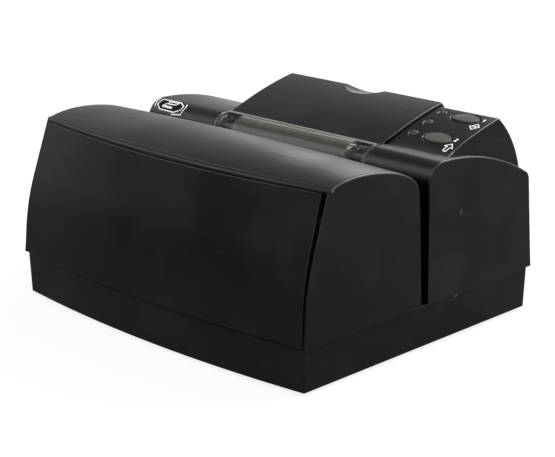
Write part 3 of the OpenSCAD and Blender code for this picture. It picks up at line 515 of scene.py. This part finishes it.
def drawn_metal(name, colour, roughness, line, depth):
    """Bright drawn, rolled or turned metal; line is the width of a streak, in metres."""
    made = Finish(name, colour, roughness, Metallic=1.0)
    lines = made.group(drawn_metal_group(), Line_Width=line).outputs
    made.feed("Base Color", made.blend(lines["Streak"], scaled(colour, 0.88), colour))
    made.feed("Roughness", ramp(made.tree, lines["Streak"], 0, 1, roughness + 0.08,
                                roughness - 0.05))
    made.bump(lines["Height"], depth)
    return made.material


def clear_bar(name, tint):
    """Clear moulded plastic with a light haze."""
    made = Finish(name, tint, 0.2, Transmission_Weight=0.88, IOR=1.25)
    dust = made.group(handling_wear_group(), Amount=0.2).outputs["Dust"]
    made.feed("Base Color", made.blend(dust, tint, scaled(tint, 0.8)))
    made.feed("Roughness", ramp(made.tree, dust, 0.0, 0.4, 0.16, 0.3))
    made.feed("Alpha", made.group(bar_ends_group()).outputs["Cover"])
    return made.material


LACQUER_GREEN, TRACK_GREEN = (0.01, 0.09, 0.035), (0.03, 0.2, 0.07)


def circuit_board(name):
    """Green board with copper tracks under its lacquer."""
    made = Finish(name, LACQUER_GREEN, 0.32, Coat_Weight=0.4)
    brick = made.tree.nodes.new("ShaderNodeTexBrick")
    put(made.tree, object_place(made.tree), brick.inputs["Vector"])
    brick.inputs["Scale"].default_value = 260.0
    brick.inputs["Mortar Size"].default_value = 0.018
    for label, level in (("Color1", 0), ("Color2", 0), ("Mortar", 1)):
        brick.inputs[label].default_value = opaque((level, level, level))
    tracks = brick.outputs["Color"]
    made.feed("Base Color", made.blend(tracks, LACQUER_GREEN, TRACK_GREEN))
    made.bump(tracks, 0.00003)
    return made.material


def printed_ink(name, colour):
    """Printed ink, a little worn."""
    made = Finish(name, colour, 0.6, Specular_IOR_Level=0.1)
    thin = ramp(made.tree, noise(made.tree, 1500.0), 0.3, 0.6)
    made.feed("Base Color", made.blend(thin, scaled(colour, 0.8), colour))
    made.bump(thin, 0.00001)
    return made.material


def smoked_lens(name):
    """Dark clear lens of a status lamp."""
    made = Finish(name, (0.02, 0.019, 0.016), 0.45, Specular_IOR_Level=0.3)
    haze = ramp(made.tree, noise(made.tree, 700.0), 0.3, 0.7)
    made.feed("Base Color", made.blend(haze, (0.017, 0.016, 0.013), (0.028, 0.026, 0.021)))
    made.feed("Roughness", ramp(made.tree, haze, 0, 1, 0.4, 0.5))
    return made.material


def finishes(scene):
    """Materials by the record's slot names, made once."""
    if "printer_finishes" in scene:
        return {slot: bpy.data.materials[name]
                for slot, name in scene["printer_finishes"].to_dict().items()}
    casing = scene.printer_casing
    pip, depth = casing.grain_size, casing.grain_depth
    made = {
        "casing_black": moulded("Black Casing", casing.colour, casing.roughness, pip, depth,
                                casing.dust, casing=True, Specular_IOR_Level=0.25),
        "inner_black": moulded("Inner Black", (0.02, 0.02, 0.021), 0.55, pip, depth * 0.5,
                               0.05, Specular_IOR_Level=0.3),
        "clear_plastic": clear_bar("Clear Bar", scene.printer_tear_bar.tint),
        "button_grey": moulded("Button Grey", (0.047, 0.046, 0.04), 0.5, pip * 0.8,
                               depth * 0.5, 0.08, Specular_IOR_Level=0.3),
        "smoked_lens": smoked_lens("Smoked Lens"),
        "white_plastic": moulded("White Plastic", (0.62, 0.62, 0.58), 0.42, pip, depth * 0.3,
                                 0.1, (0.4, 0.39, 0.36)),
        "rubber": moulded("Rubber", (0.018, 0.018, 0.018), 0.75, pip * 0.7, depth, 0.3,
                          (0.1, 0.1, 0.095)),
        "steel": drawn_metal("Ground Steel", (0.62, 0.62, 0.63), 0.22, 0.0002, 0.000003),
        "sheet_steel": drawn_metal("Sheet Steel", (0.56, 0.57, 0.58), 0.34, 0.0005, 0.000006),
        "head_metal": drawn_metal("Head Metal", (0.5, 0.5, 0.51), 0.3, 0.0003, 0.000004),
        "brass": drawn_metal("Brass", (0.74, 0.55, 0.26), 0.28, 0.0002, 0.000003),
        "circuit_board": circuit_board("Circuit Board"),
        "chip_black": moulded("Chip Black", (0.02, 0.02, 0.021), 0.5, 0.0002, 0.000008, 0.05),
        "cartridge_black": moulded("Cartridge Black", (0.016, 0.016, 0.017), 0.38, pip,
                                   depth * 0.4, 0.05),
        "latch_blue": moulded("Latch Blue", (0.03, 0.13, 0.3), 0.4, pip, depth * 0.4, 0.05),
        "ink": printed_ink("White Ink", scene.printer_marks.colour),
        # Painted highlight: a pale grey ink on the saw-tooth boxes stands for the glints of the
        # clear teeth.
        "tooth_white": printed_ink("Tooth White", (0.32, 0.31, 0.29)),
        "black_ink": printed_ink("Black Ink", (0.0015, 0.0015, 0.0015)),
    }
    scene["printer_finishes"] = {slot: material.name for slot, material in made.items()}
    return made


# Meshes

def add_piece(name, mesh, body, material, replaces=()):
    """Puts a mesh in the scene as one piece that rides on a body."""
    piece = placed(name, mesh)
    mesh.materials.clear()
    mesh.materials.append(material)
    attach(piece, body)
    if replaces:
        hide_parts(*replaces)
    return piece


# Least angle of an edge that is rounded, and of one that stays sharp in the shading.
ROUNDED_ANGLE, SHARP_ANGLE = math.radians(28), math.radians(35)
# Faces that meet at less than this angle and points that lie nearer than this are merged.
FLAT_ANGLE, SAME_POINT = math.radians(0.4), 0.01 * MM
# A ray that starts this far from an edge and meets nothing shows that it faces out.
RAY_START, RAY_LENGTH = 0.2 * MM, 0.4
# An edge faces down when the z of its direction is below this.
FACING_DOWN = -0.15
# How near to the scoop's surface its rim lies.
RIM_REACH = 0.3 * MM
# Share of a face's width that a rounding on one side, or those on both, may take.
ONE_SIDE, BOTH_SIDES = 0.9, 0.94
ROUNDING_STEPS = 3


def on_rim(edge, scoop):
    """Whether an edge touches the scoop, which is None or its centre and radius."""
    return scoop and any(abs((end.co - scoop[0]).length - scoop[1]) < RIM_REACH
                         for end in edge.verts)


def round_outer_edges(work, radius, share_below, scoop):
    """Gives the sharp edges that face away from the piece their share of the rounding."""
    work.normal_update()
    weight = work.edges.layers.float.new("bevel_weight_edge")
    tree = BVHTree.FromBMesh(work)
    width = {}
    for edge in work.edges:
        if len(edge.link_faces) != 2 or not edge.is_convex or on_rim(edge, scoop):
            continue
        if edge.calc_face_angle(0) < ROUNDED_ANGLE:
            continue
        out = (edge.link_faces[0].normal + edge.link_faces[1].normal).normalized()
        middle = (edge.verts[0].co + edge.verts[1].co) / 2
        if tree.ray_cast(middle + out * RAY_START, out, RAY_LENGTH)[0] is None:
            width[edge] = radius * (share_below if out.z < FACING_DOWN else 1.0)
    # A narrow face beside an edge leaves room for less rounding.
    room = {}
    for edge in width:
        for end in edge.verts:
            room[end] = min(room.get(end, 1.0), width[edge])
    for end in list(room):
        for side in end.link_edges:
            if side not in width and side.other_vert(end) not in room:
                room[end] = min(room[end], ONE_SIDE * side.calc_length())
    for edge in work.edges:
        first, second = edge.verts
        if edge not in width and first in room and second in room:
            shrink = BOTH_SIDES * edge.calc_length() / (room[first] + room[second])
            if shrink < 1:
                room[first] *= shrink
                room[second] *= shrink
    for edge in width:
        edge[weight] = min(width[edge], *(room[end] for end in edge.verts)) / radius


def rounded_copy(node, name, radius, share_below=0.5, scoop=None):
    """The node's own mesh with rounded edges, but for a scoop's rim, as a piece in its place."""
    mesh = frame["nodes"][node].data.copy()
    mesh.name = name
    work = bmesh.new()
    work.from_mesh(mesh)
    bmesh.ops.remove_doubles(work, verts=work.verts, dist=SAME_POINT)
    bmesh.ops.dissolve_limit(work, angle_limit=FLAT_ANGLE, verts=work.verts,
                             edges=work.edges, use_dissolve_boundaries=False)
    round_outer_edges(work, radius, share_below, scoop)
    work.to_mesh(mesh)
    work.free()
    normals = mesh.attributes.get("custom_normal")
    if normals:
        mesh.attributes.remove(normals)
    mesh.shade_smooth()
    mesh.set_sharp_from_angle(angle=SHARP_ANGLE)
    slot = SLOTS[node]
    piece = add_piece(name, mesh, frame["nodes"][node]["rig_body"],
                      finishes(bpy.context.scene)[slot], (node,))
    bevel = piece.modifiers.new("Edge Rounding", "BEVEL")
    bevel.limit_method = "WEIGHT"
    bevel.width = radius
    bevel.segments = ROUNDING_STEPS
    bevel.use_clamp_overlap = False
    weighted = piece.modifiers.new("Even Shading", "WEIGHTED_NORMAL")
    weighted.keep_sharp = True


def strip_mesh(name, outlines):
    """Flat faces from outlines of places in order, seen from outside anticlockwise."""
    mesh = bpy.data.meshes.new(name)
    work = bmesh.new()
    for outline in outlines:
        work.faces.new([work.verts.new(place) for place in outline])
    work.to_mesh(mesh)
    work.free()
    return mesh


# A sharp corner of a line reaches out by no more than half its width divided by this.
MITRE_LIMIT = 0.4


def stroke_quads(points, width, closed):
    """Quads of a line of that width along flat points, mitred at its corners."""
    points = [Vector(p) for p in points]
    count = len(points)
    sides = []
    for i, point in enumerate(points):
        before = points[i - 1] if closed or i else None
        after = points[(i + 1) % count] if closed or i < count - 1 else None
        ways = [(b - a).normalized() for a, b in ((before, point), (point, after))
                if a is not None and b is not None]
        across = sum((Vector((-w.y, w.x)) for w in ways), Vector((0, 0))).normalized()
        reach = width / 2 / max(MITRE_LIMIT, across.dot(Vector((-ways[0].y, ways[0].x))))
        sides.append((point + across * reach, point - across * reach))
    pairs = list(zip(sides, sides[1:])) + ([(sides[-1], sides[0])] if closed else [])
    return [(a[1], b[1], b[0], a[0]) for a, b in pairs]


def subdivided(quad, parts):
    """A flat quad cut across into parts, so that it can follow a curved surface."""
    low0, low1, high1, high0 = quad
    cuts = [i / parts for i in range(parts + 1)]
    return [(low0.lerp(low1, s), low0.lerp(low1, t), high0.lerp(high1, t), high0.lerp(high1, s))
            for s, t in zip(cuts, cuts[1:])]


def stroked(name, lines, width, parts, place, lift):
    """Mesh of lines on a curved surface; place() finds their places there."""
    quads = [part for points, closed in lines for quad in stroke_quads(points, width, closed)
             for part in subdivided(quad, parts)]
    return strip_mesh(name, [[place(p.x, p.y, lift) for p in quad] for quad in quads])


# Round surfaces under the marks: y and z of the axis, and the radius, in the drawing.
PANEL_AXIS, PANEL_RADIUS = (171.8, -101.8), 200.0
CORNER_AXIS, CORNER_RADIUS = (89.5, 73.5), 10.0


def on_panel(x, y, lift):
    """Place on the control panel, lifted off its surface; all in millimetres."""
    reach = Vector((y - PANEL_AXIS[0], math.sqrt(PANEL_RADIUS ** 2 - (y - PANEL_AXIS[0]) ** 2)))
    reach *= (PANEL_RADIUS + lift) / PANEL_RADIUS
    return spot(x, PANEL_AXIS[0] + reach.x, PANEL_AXIS[1] + reach.y)


def on_slot_corner(x, arc, lift):
    """Place on the rounded top corner of the slot's rear wall; all in millimetres."""
    angle = arc / CORNER_RADIUS
    reach = CORNER_RADIUS + lift
    return spot(x, CORNER_AXIS[0] - reach * math.cos(angle),
                CORNER_AXIS[1] + reach * math.sin(angle))


# Columns and rows of a filled outline, and the share of a column by which they stay inside it.
FILL_COLUMNS, FILL_ROWS, FILL_MARGIN = 12, 6, 0.001


def filled_outline(outline, lift):
    """Narrow quads that fill a bulging outline on the slot's corner."""
    def reach(x):
        heights = []
        for (x0, a0), (x1, a1) in zip(outline, outline[1:] + outline[:1]):
            if x0 != x1 and min(x0, x1) <= x <= max(x0, x1):
                heights.append(a0 + (a1 - a0) * (x - x0) / (x1 - x0))
        return min(heights), max(heights)
    low, high = min(p[0] for p in outline), max(p[0] for p in outline)
    columns = [low + (high - low) * (i + FILL_MARGIN) / (FILL_COLUMNS + 2 * FILL_MARGIN)
               for i in range(FILL_COLUMNS + 1)]
    quads = []
    for x0, x1 in zip(columns, columns[1:]):
        rows = [[bottom + (top - bottom) * j / FILL_ROWS for bottom, top in (reach(x0), reach(x1))]
                for j in range(FILL_ROWS + 1)]
        quads += [[on_slot_corner(x0, a[0], lift), on_slot_corner(x1, a[1], lift),
                   on_slot_corner(x1, b[1], lift), on_slot_corner(x0, b[0], lift)]
                  for a, b in zip(rows, rows[1:])]
    return quads


# Marks: lines of points in the drawing, and whether each line is closed. Points are x and y on
# the panel, x and the way along the arc on the slot's corner.
PANEL_MARKS = {
    "digit_1": [([(83.9, 128.2), (84.7, 128.9), (84.7, 126.8)], False)],
    "digit_2": [([(83.9, 108.7), (84.2, 109.1), (84.8, 109.1), (85.1, 108.6), (83.9, 107.2),
                  (85.2, 107.2)], False)],
    "form_sign": [([(81.9, 120.8), (84.3, 123.8), (86.8, 121.5), (84.6, 118.5)], True),
                  ([(83.4, 120.5), (84.3, 121.8), (84.9, 120.7), (85.6, 121.8)], False)],
    "feed_arrow": [([(84.9, 104.9), (82.4, 102.8), (83.9, 102.6), (83.9, 99.5), (85.8, 99.0),
                     (85.8, 102.2), (87.4, 101.8)], True)],
}
SLIP_FRAME = [(-89.6, 8.9), (-89, 12.92), (-76, 13.26), (-71.7, 10.82), (-71.8, 8.2),
              (-75.7, 6.2), (-86.4, 6.37)]
SLIP_SIGN = [
    (SLIP_FRAME, True),
    ([(-83.2, 12.1), (-76.3, 12.2), (-77.2, 10.6), (-82.6, 10.3)], True),
    ([(-83.4, 10.6), (-85.6, 8.6)], False),
    ([(-85.6, 8.1), (-78.2, 8.0)], False),
    ([(-84.6, 8.8), (-78.6, 8.7)], False),
    ([(-91.3, 13.61), (-91.6, 10.47), (-90.4, 7.16)], False),
    ([(-70.2, 6.39), (-69.7, 10.3), (-70.8, 12.85)], False),
    ([(-76.9, 4.89), (-69.8, 5.76)], False),
]
# Line width of the slip sign, the height of its dark ground as a share of the ink's, and the
# parts of a line on the panel and on the slot's corner.
SLIP_STROKE, GROUND_LIFT = 0.6, 0.5
PANEL_PARTS, CORNER_PARTS = 3, 6

# Casings: share of the edge radius, and the share of that on the edges that face down.
ROUNDINGS = {
    "base_casing": (1.0, 0.5), "front_casing": (1.2, 0.15), "rear_casing": (1.2, 0.15),
    "front_cover": (0.4, 0.2), "roll_cover": (1.4, 0.5),
}
# Centre and radius of the thumb scoop in the roll cover.
THUMB_SCOOP = (spot(5.5, 136, 123.2), 30 * MM)
BUTTON_ROUNDING = 0.35 * MM


class PRINTER_OT_casings(bpy.types.Operator):
    """Casings and covers with rounded edges and a moulded finish"""
    bl_idname = "printer.casings"
    bl_label = "Casings And Covers"

    def execute(self, context):
        radius = context.scene.printer_casing.edge_radius
        for node, (share, below) in ROUNDINGS.items():
            scoop = THUMB_SCOOP if node == "roll_cover" else None
            rounded_copy(node, node + "_shell", radius * share, below, scoop)
        return {"FINISHED"}


class PRINTER_OT_buttons(bpy.types.Operator):
    """Oval feed buttons with softened rims"""
    bl_idname = "printer.buttons"
    bl_label = "Feed Buttons"

    def execute(self, context):
        for node in ("button_1", "button_2"):
            rounded_copy(node, node + "_cap", BUTTON_ROUNDING)
        return {"FINISHED"}


class PRINTER_OT_works(bpy.types.Operator):
    """Finishes of the pieces that keep the shape they have in the model"""
    bl_idname = "printer.works"
    bl_label = "Works"

    def execute(self, context):
        made = finishes(context.scene)
        for node, thing in frame["nodes"].items():
            thing.material_slots[0].material = made[SLOTS[node]]
        return {"FINISHED"}


class PRINTER_OT_marks(bpy.types.Operator):
    """Plain numbers and signs printed on the panel and beside the slot"""
    bl_idname = "printer.marks"
    bl_label = "Printed Marks"

    def execute(self, context):
        settings = context.scene.printer_marks
        made = finishes(context.scene)
        width, lift = settings.stroke / MM, settings.lift / MM
        for name, lines in PANEL_MARKS.items():
            mesh = stroked(name, lines, width, PANEL_PARTS, on_panel, lift)
            add_piece(name, mesh, "printer", made["ink"])
        mesh = stroked("slip_sign", SLIP_SIGN, SLIP_STROKE, CORNER_PARTS, on_slot_corner, lift)
        add_piece("slip_sign", mesh, "printer", made["ink"])
        mesh = strip_mesh("slip_sign_ground", filled_outline(SLIP_FRAME, lift * GROUND_LIFT))
        add_piece("slip_sign_ground", mesh, "printer", made["black_ink"])
        return {"FINISHED"}


# Rows of small parts

def row_tree():
    """Geometry Nodes tree of a row of boxes along x, with its count and sizes as inputs."""
    if "Row Of Parts" in bpy.data.node_groups:
        return bpy.data.node_groups["Row Of Parts"]
    tree = bpy.data.node_groups.new("Row Of Parts", "GeometryNodeTree")
    socket(tree, "Geometry", "INPUT", "NodeSocketGeometry")
    socket(tree, "Count", "INPUT", "NodeSocketInt", 8)
    for label in ("Pitch", "Start X", "Y", "Z", "Width", "Depth", "Height"):
        socket(tree, label, "INPUT", value=1 * MM)
    socket(tree, "Material", "INPUT", "NodeSocketMaterial")
    socket(tree, "Geometry", "OUTPUT", "NodeSocketGeometry")
    start, end = tree.nodes.new("NodeGroupInput"), tree.nodes.new("NodeGroupOutput")
    line = tree.nodes.new("GeometryNodeMeshLine")
    first, step, size = (tree.nodes.new("ShaderNodeCombineXYZ") for _ in range(3))
    block = tree.nodes.new("GeometryNodeMeshCube")
    place = tree.nodes.new("GeometryNodeInstanceOnPoints")
    real = tree.nodes.new("GeometryNodeRealizeInstances")
    paint = tree.nodes.new("GeometryNodeSetMaterial")
    for label, target in (
            ("Start X", first.inputs[0]), ("Y", first.inputs[1]), ("Z", first.inputs[2]),
            ("Pitch", step.inputs[0]), ("Width", size.inputs[0]), ("Depth", size.inputs[1]),
            ("Height", size.inputs[2]), ("Count", line.inputs["Count"]),
            ("Material", paint.inputs["Material"])):
        tree.links.new(start.outputs[label], target)
    for source, target in (
            (first, line.inputs["Start Location"]), (step, line.inputs["Offset"]),
            (size, block.inputs["Size"]), (line, place.inputs["Points"]),
            (block, place.inputs["Instance"]), (place, real.inputs[0]),
            (real, paint.inputs["Geometry"]), (paint, end.inputs[0])):
        tree.links.new(source.outputs[0], target)
    return tree


def row_of_boxes(name, middle, count, pitch, size, material):
    """Runs the tree on an empty mesh and keeps the row as one piece."""
    values = {"Count": count, "Pitch": pitch, "Start X": middle.x - pitch * (count - 1) / 2,
              "Y": middle.y, "Z": middle.z, "Width": size[0], "Depth": size[1],
              "Height": size[2], "Material": material}
    holder = placed(name + "_source", bpy.data.meshes.new(name + "_source"))
    modifier = holder.modifiers.new("Row", "NODES")
    modifier.node_group = row_tree()
    for item in modifier.node_group.interface.items_tree:
        if item.in_out == "INPUT" and item.name in values:
            modifier[item.identifier] = values[item.name]
    bpy.context.view_layer.update()
    evaluated = holder.evaluated_get(bpy.context.evaluated_depsgraph_get())
    mesh = bpy.data.meshes.new_from_object(evaluated)
    bpy.data.objects.remove(holder)
    if not mesh.polygons:
        raise RuntimeError(name + " came out empty")
    mesh.name = name
    add_piece(name, mesh, "printer", material)


# Contacts in the data socket: y and z of their middle in the drawing.
CONTACT_ROW = (145.5, 11.2)
CONTACT_PITCH, CONTACT_SIZE = 1.02 * MM, (0.4 * MM, 11 * MM, 0.5 * MM)
# Chips on the main board, in the drawing: x and y of the middle, distance between the rows of
# legs, and legs in a row.
CHIPS = [(-11, 113, 18.8, 12), (18, 110, 8.8, 8), (18, 126, 8.8, 8)]
# Pitch and size of the legs, and the height of their middle above the board.
LEG_PITCH, LEG_SIZE, LEG_RISE = 1.28 * MM, (0.45 * MM, 1.2 * MM, 0.7 * MM), 0.4 * MM
# Teeth inside the belt: length of a row, depth and height of a tooth, and how far its middle
# lies inside the belt.
BELT_RUN, BELT_TOOTH, BELT_INSET = 140 * MM, (4.6 * MM, 0.5 * MM), 1.35 * MM


class PRINTER_OT_small_parts(bpy.types.Operator):
    """Socket contacts, chip legs and the teeth of the carriage belt"""
    bl_idname = "printer.small_parts"
    bl_label = "Small Parts"

    def execute(self, context):
        made, settings = finishes(context.scene), context.scene.printer_small_parts
        low, high = box_of("data_socket")
        middle = spot(0, *CONTACT_ROW)
        middle.x = (low.x + high.x) / 2
        row_of_boxes("socket_contacts", middle, settings.contacts, CONTACT_PITCH, CONTACT_SIZE,
                     made["brass"])

        board_top = box_of("main_board")[1].z
        for index, (x, y, span, legs) in enumerate(CHIPS):
            for side, label in ((-1, "front"), (1, "rear")):
                middle = spot(x, y + side * span / 2, 0)
                middle.z = board_top + LEG_RISE
                row_of_boxes("chip_legs_%d_%s" % (index + 1, label), middle, legs, LEG_PITCH,
                             LEG_SIZE, made["steel"])

        low, high = box_of("carriage_belt")
        pitch = settings.belt_pitch
        for level, z in (("lower", low.z + BELT_INSET), ("upper", high.z - BELT_INSET)):
            middle = Vector((0, (low.y + high.y) / 2, z))
            row_of_boxes("belt_teeth_" + level, middle, int(BELT_RUN / pitch), pitch,
                         (pitch / 2, *BELT_TOOTH), made["rubber"])
        return {"FINISHED"}


# Painted glints on the saw teeth of the clear tear bar: pale boxes that stand for the light the
# teeth catch. Middle and length of their row, depth and height of a glint.
TEETH_MIDDLE, TEETH_RUN, TOOTH_GLINT = spot(4.25, 90.3, 83.55), 98 * MM, (0.8 * MM, 0.7 * MM)


class PRINTER_OT_painted_glints(bpy.types.Operator):
    """Painted glints: pale boxes on the tips of the saw teeth along the tear bar"""
    bl_idname = "printer.tear_edge"
    bl_label = "Painted Glints"

    def execute(self, context):
        made, settings = finishes(context.scene), context.scene.printer_tear_bar
        pitch = settings.tooth_pitch
        # A row of pale boxes that paints the glints of the saw teeth.
        row_of_boxes("painted_tooth_glints", TEETH_MIDDLE, int(TEETH_RUN / pitch), pitch,
                     (settings.glint_width, *TOOTH_GLINT), made["tooth_white"])
        return {"FINISHED"}


# Stage

# Floor: half its width and its height in metres, its tone, and how white the camera, gloss and
# clear plastic see it.
FLOOR_REACH, FLOOR_HEIGHT, FLOOR_TONE, FLOOR_WHITE = 4, -0.0002, 0.86, 0.85
# Soft lamps: place, aim, width and length in metres, and share of the softbox power.
LAMPS = {
    "Top Softbox": ((0.35, -0.55, 0.95), (0, 0, 0.05), (0.9, 0.9), 1.0),
    "Left Softbox": ((-0.72, -0.48, 0.64), (-0.05, -0.05, 0.05), (0.4, 0.6), 0.27),
    "Rim Softbox": ((0.35, 0.75, 0.72), (0, 0, 0.05), (0.8, 0.45), 2.2),
    "Back Softbox": ((-0.75, 1.12, 0.42), (0, 0, 0.05), (1.0, 0.6), 0.3),
}
# Cards that stand round the printer and face one place: place, size in metres, and tone.
CARD_AIM = (0, 0, 0.06)
STANDING_CARDS = {
    "canopy_card": ((-0.5, 0.2, 0.8), (1.0, 0.7), 0.22),
    "horizon_card": ((-1.05, 0.6, 0.38), (0.7, 0.5), 0.6),
    "front_card": ((-0.45, -0.88, 0.16), (1.4, 0.7), 0.02),
}
# Cards that lie on the floor, face down, in the same form.
FLOOR_CARDS = {
    "table_card_left": ((-0.5525, 0, 0.0005), (1.295, 2.4), 0.21),
    "table_card_right": ((0.6475, -0.57, 0.0005), (1.105, 1.26), 0.2),
    "table_card_rear": ((0.6475, 0.63, 0.0005), (1.105, 1.14), 0.3),
}
CORNERS = ((-1, -1), (1, -1), (1, 1), (-1, 1))
CAMERA_PLACE = Vector((523.45, -518.03, 264.25)) * MM
CAMERA_AIM = Vector((-21.78, 27.53, 26.74)) * MM
CAMERA_ROLL = math.radians(-0.214)


def seen_directly(tree):
    """Socket that is 1 where the camera, gloss or clear plastic sees the surface, or else 0."""
    path = tree.nodes.new("ShaderNodeLightPath")
    seen = maths(tree, "MAXIMUM", path.outputs["Is Camera Ray"], path.outputs["Is Glossy Ray"])
    return maths(tree, "MAXIMUM", seen, path.outputs["Is Transmission Ray"])


def mixed(tree, factor, first, second, target):
    """Links a mix of two shaders to a target socket."""
    mix = tree.nodes.new("ShaderNodeMixShader")
    for place, source in enumerate((factor, first.outputs[0], second.outputs[0])):
        tree.links.new(source, mix.inputs[place])
    tree.links.new(mix.outputs[0], target)


def stage_floor():
    """Pale matt floor that shows as white to the camera and keeps the object's shadow."""
    made, tree, out = bare_material("Stage Floor")
    matt = tree.nodes.new("ShaderNodeBsdfDiffuse")
    matt.inputs["Color"].default_value = opaque([FLOOR_TONE] * 3)
    white = tree.nodes.new("ShaderNodeEmission")
    share = product(tree, seen_directly(tree), FLOOR_WHITE)
    mixed(tree, share, matt, white, out.inputs["Surface"])
    mesh = strip_mesh("stage_floor", [[(x * FLOOR_REACH, y * FLOOR_REACH, FLOOR_HEIGHT)
                                       for x, y in CORNERS]])
    mesh.materials.append(made)
    placed("stage_floor", mesh)


def studio_world(level):
    """Even light from all round, which looks white to the camera, gloss and clear plastic."""
    world = bpy.data.worlds.new("Studio")
    bpy.context.scene.world = world
    world.use_nodes = True
    tree = world.node_tree
    tree.nodes.clear()
    out = tree.nodes.new("ShaderNodeOutputWorld")
    plain, white = (tree.nodes.new("ShaderNodeBackground") for _ in range(2))
    for node, strength in ((plain, level), (white, 1.0)):
        node.inputs["Color"].default_value = (1, 1, 1, 1)
        node.inputs["Strength"].default_value = strength
    mixed(tree, seen_directly(tree), plain, white, out.inputs["Surface"])


def area_lamp(name, place, aim, size, power):
    """A soft rectangular lamp that the camera doesn't see."""
    lamp = bpy.data.lights.new(name, "AREA")
    lamp.shape = "RECTANGLE"
    lamp.size, lamp.size_y = size
    lamp.energy = power
    thing = placed(name, lamp)
    way = (Vector(aim) - Vector(place)).to_track_quat("-Z", "Y")
    thing.matrix_world = Matrix.Translation(place) @ way.to_matrix().to_4x4()
    thing.visible_camera = False


def dark_card(name, place, aim, size, tone):
    """A dark card, as photographers set round a black object, that only gloss sees."""
    made, tree, out = bare_material(name)
    glow = tree.nodes.new("ShaderNodeEmission")
    glow.inputs["Color"].default_value = opaque([tone] * 3)
    tree.links.new(glow.outputs[0], out.inputs["Surface"])
    place = Vector(place)
    turn = (Vector(aim) - place).to_track_quat("-Z", "Y").to_matrix()
    mesh = strip_mesh(name, [[place + turn @ Vector((x * size[0] / 2, y * size[1] / 2, 0))
                              for x, y in CORNERS]])
    mesh.materials.append(made)
    card = placed(name, mesh)
    card.visible_camera = card.visible_diffuse = card.visible_shadow = False
    card.visible_transmission = False


def stage_camera(lens):
    """Camera at the picture's place, turned a little about its own axis."""
    camera = bpy.data.cameras.new("Camera")
    camera.sensor_width = 36
    camera.sensor_fit = "HORIZONTAL"
    camera.lens = lens
    camera.clip_start, camera.clip_end = 0.01, 20
    ahead = (CAMERA_AIM - CAMERA_PLACE).normalized()
    right = ahead.cross(Vector((0, 0, 1))).normalized()
    up = right.cross(ahead)
    turn_c, turn_s = math.cos(CAMERA_ROLL), math.sin(CAMERA_ROLL)
    right, up = turn_c * right + turn_s * up, turn_c * up - turn_s * right
    eye = placed("Camera", camera)
    eye.matrix_world = Matrix.Translation(CAMERA_PLACE) @ Matrix(
        (right, up, -ahead)).transposed().to_4x4()
    bpy.context.scene.camera = eye


class PRINTER_OT_stage(bpy.types.Operator):
    """Camera at the picture's viewing angle, pale floor and soft studio light"""
    bl_idname = "printer.stage"
    bl_label = "Stage"

    def execute(self, context):
        settings = context.scene.printer_stage
        stage_camera(settings.lens)
        stage_floor()
        studio_world(settings.room)
        for name, (place, aim, size, share) in LAMPS.items():
            area_lamp(name, place, aim, size, settings.softbox * share)
        for name, (place, size, tone) in STANDING_CARDS.items():
            dark_card(name, place, CARD_AIM, size, tone)
        for name, ((x, y, z), size, tone) in FLOOR_CARDS.items():
            dark_card(name, (x, y, z), (x, y, z - 1), size, tone)
        context.scene.view_settings.view_transform = "Standard"
        return {"FINISHED"}


class PRINTER_PT_panel(bpy.types.Panel):
    """Lists the printer's settings and its building steps"""
    bl_idname = "PRINTER_PT_panel"
    bl_label = "Validation Printer"
    bl_space_type = "VIEW_3D"
    bl_region_type = "UI"
    bl_category = "Printer"

    def draw(self, context):
        for name, group in SETTINGS.items():
            box = self.layout.box()
            box.label(text=group.__doc__)
            for label in group.__annotations__:
                box.prop(getattr(context.scene, name), label)
        for operator in OPERATORS:
            self.layout.operator(operator.bl_idname)


OPERATORS = (PRINTER_OT_works, PRINTER_OT_casings, PRINTER_OT_buttons, PRINTER_OT_marks,
             PRINTER_OT_small_parts, PRINTER_OT_painted_glints, PRINTER_OT_stage)
CLASSES = tuple(SETTINGS.values()) + OPERATORS + (PRINTER_PT_panel,)


def register():
    for item in CLASSES:
        bpy.utils.register_class(item)
    for name, group in SETTINGS.items():
        setattr(bpy.types.Scene, name, PointerProperty(type=group))


def unregister():
    for name in SETTINGS:
        delattr(bpy.types.Scene, name)
    for item in reversed(CLASSES):
        bpy.utils.unregister_class(item)


def main():
    register()
    for operator in OPERATORS:
        group, action = operator.bl_idname.split(".")
        getattr(getattr(bpy.ops, group), action)()


if __name__ == "__main__":
    main()
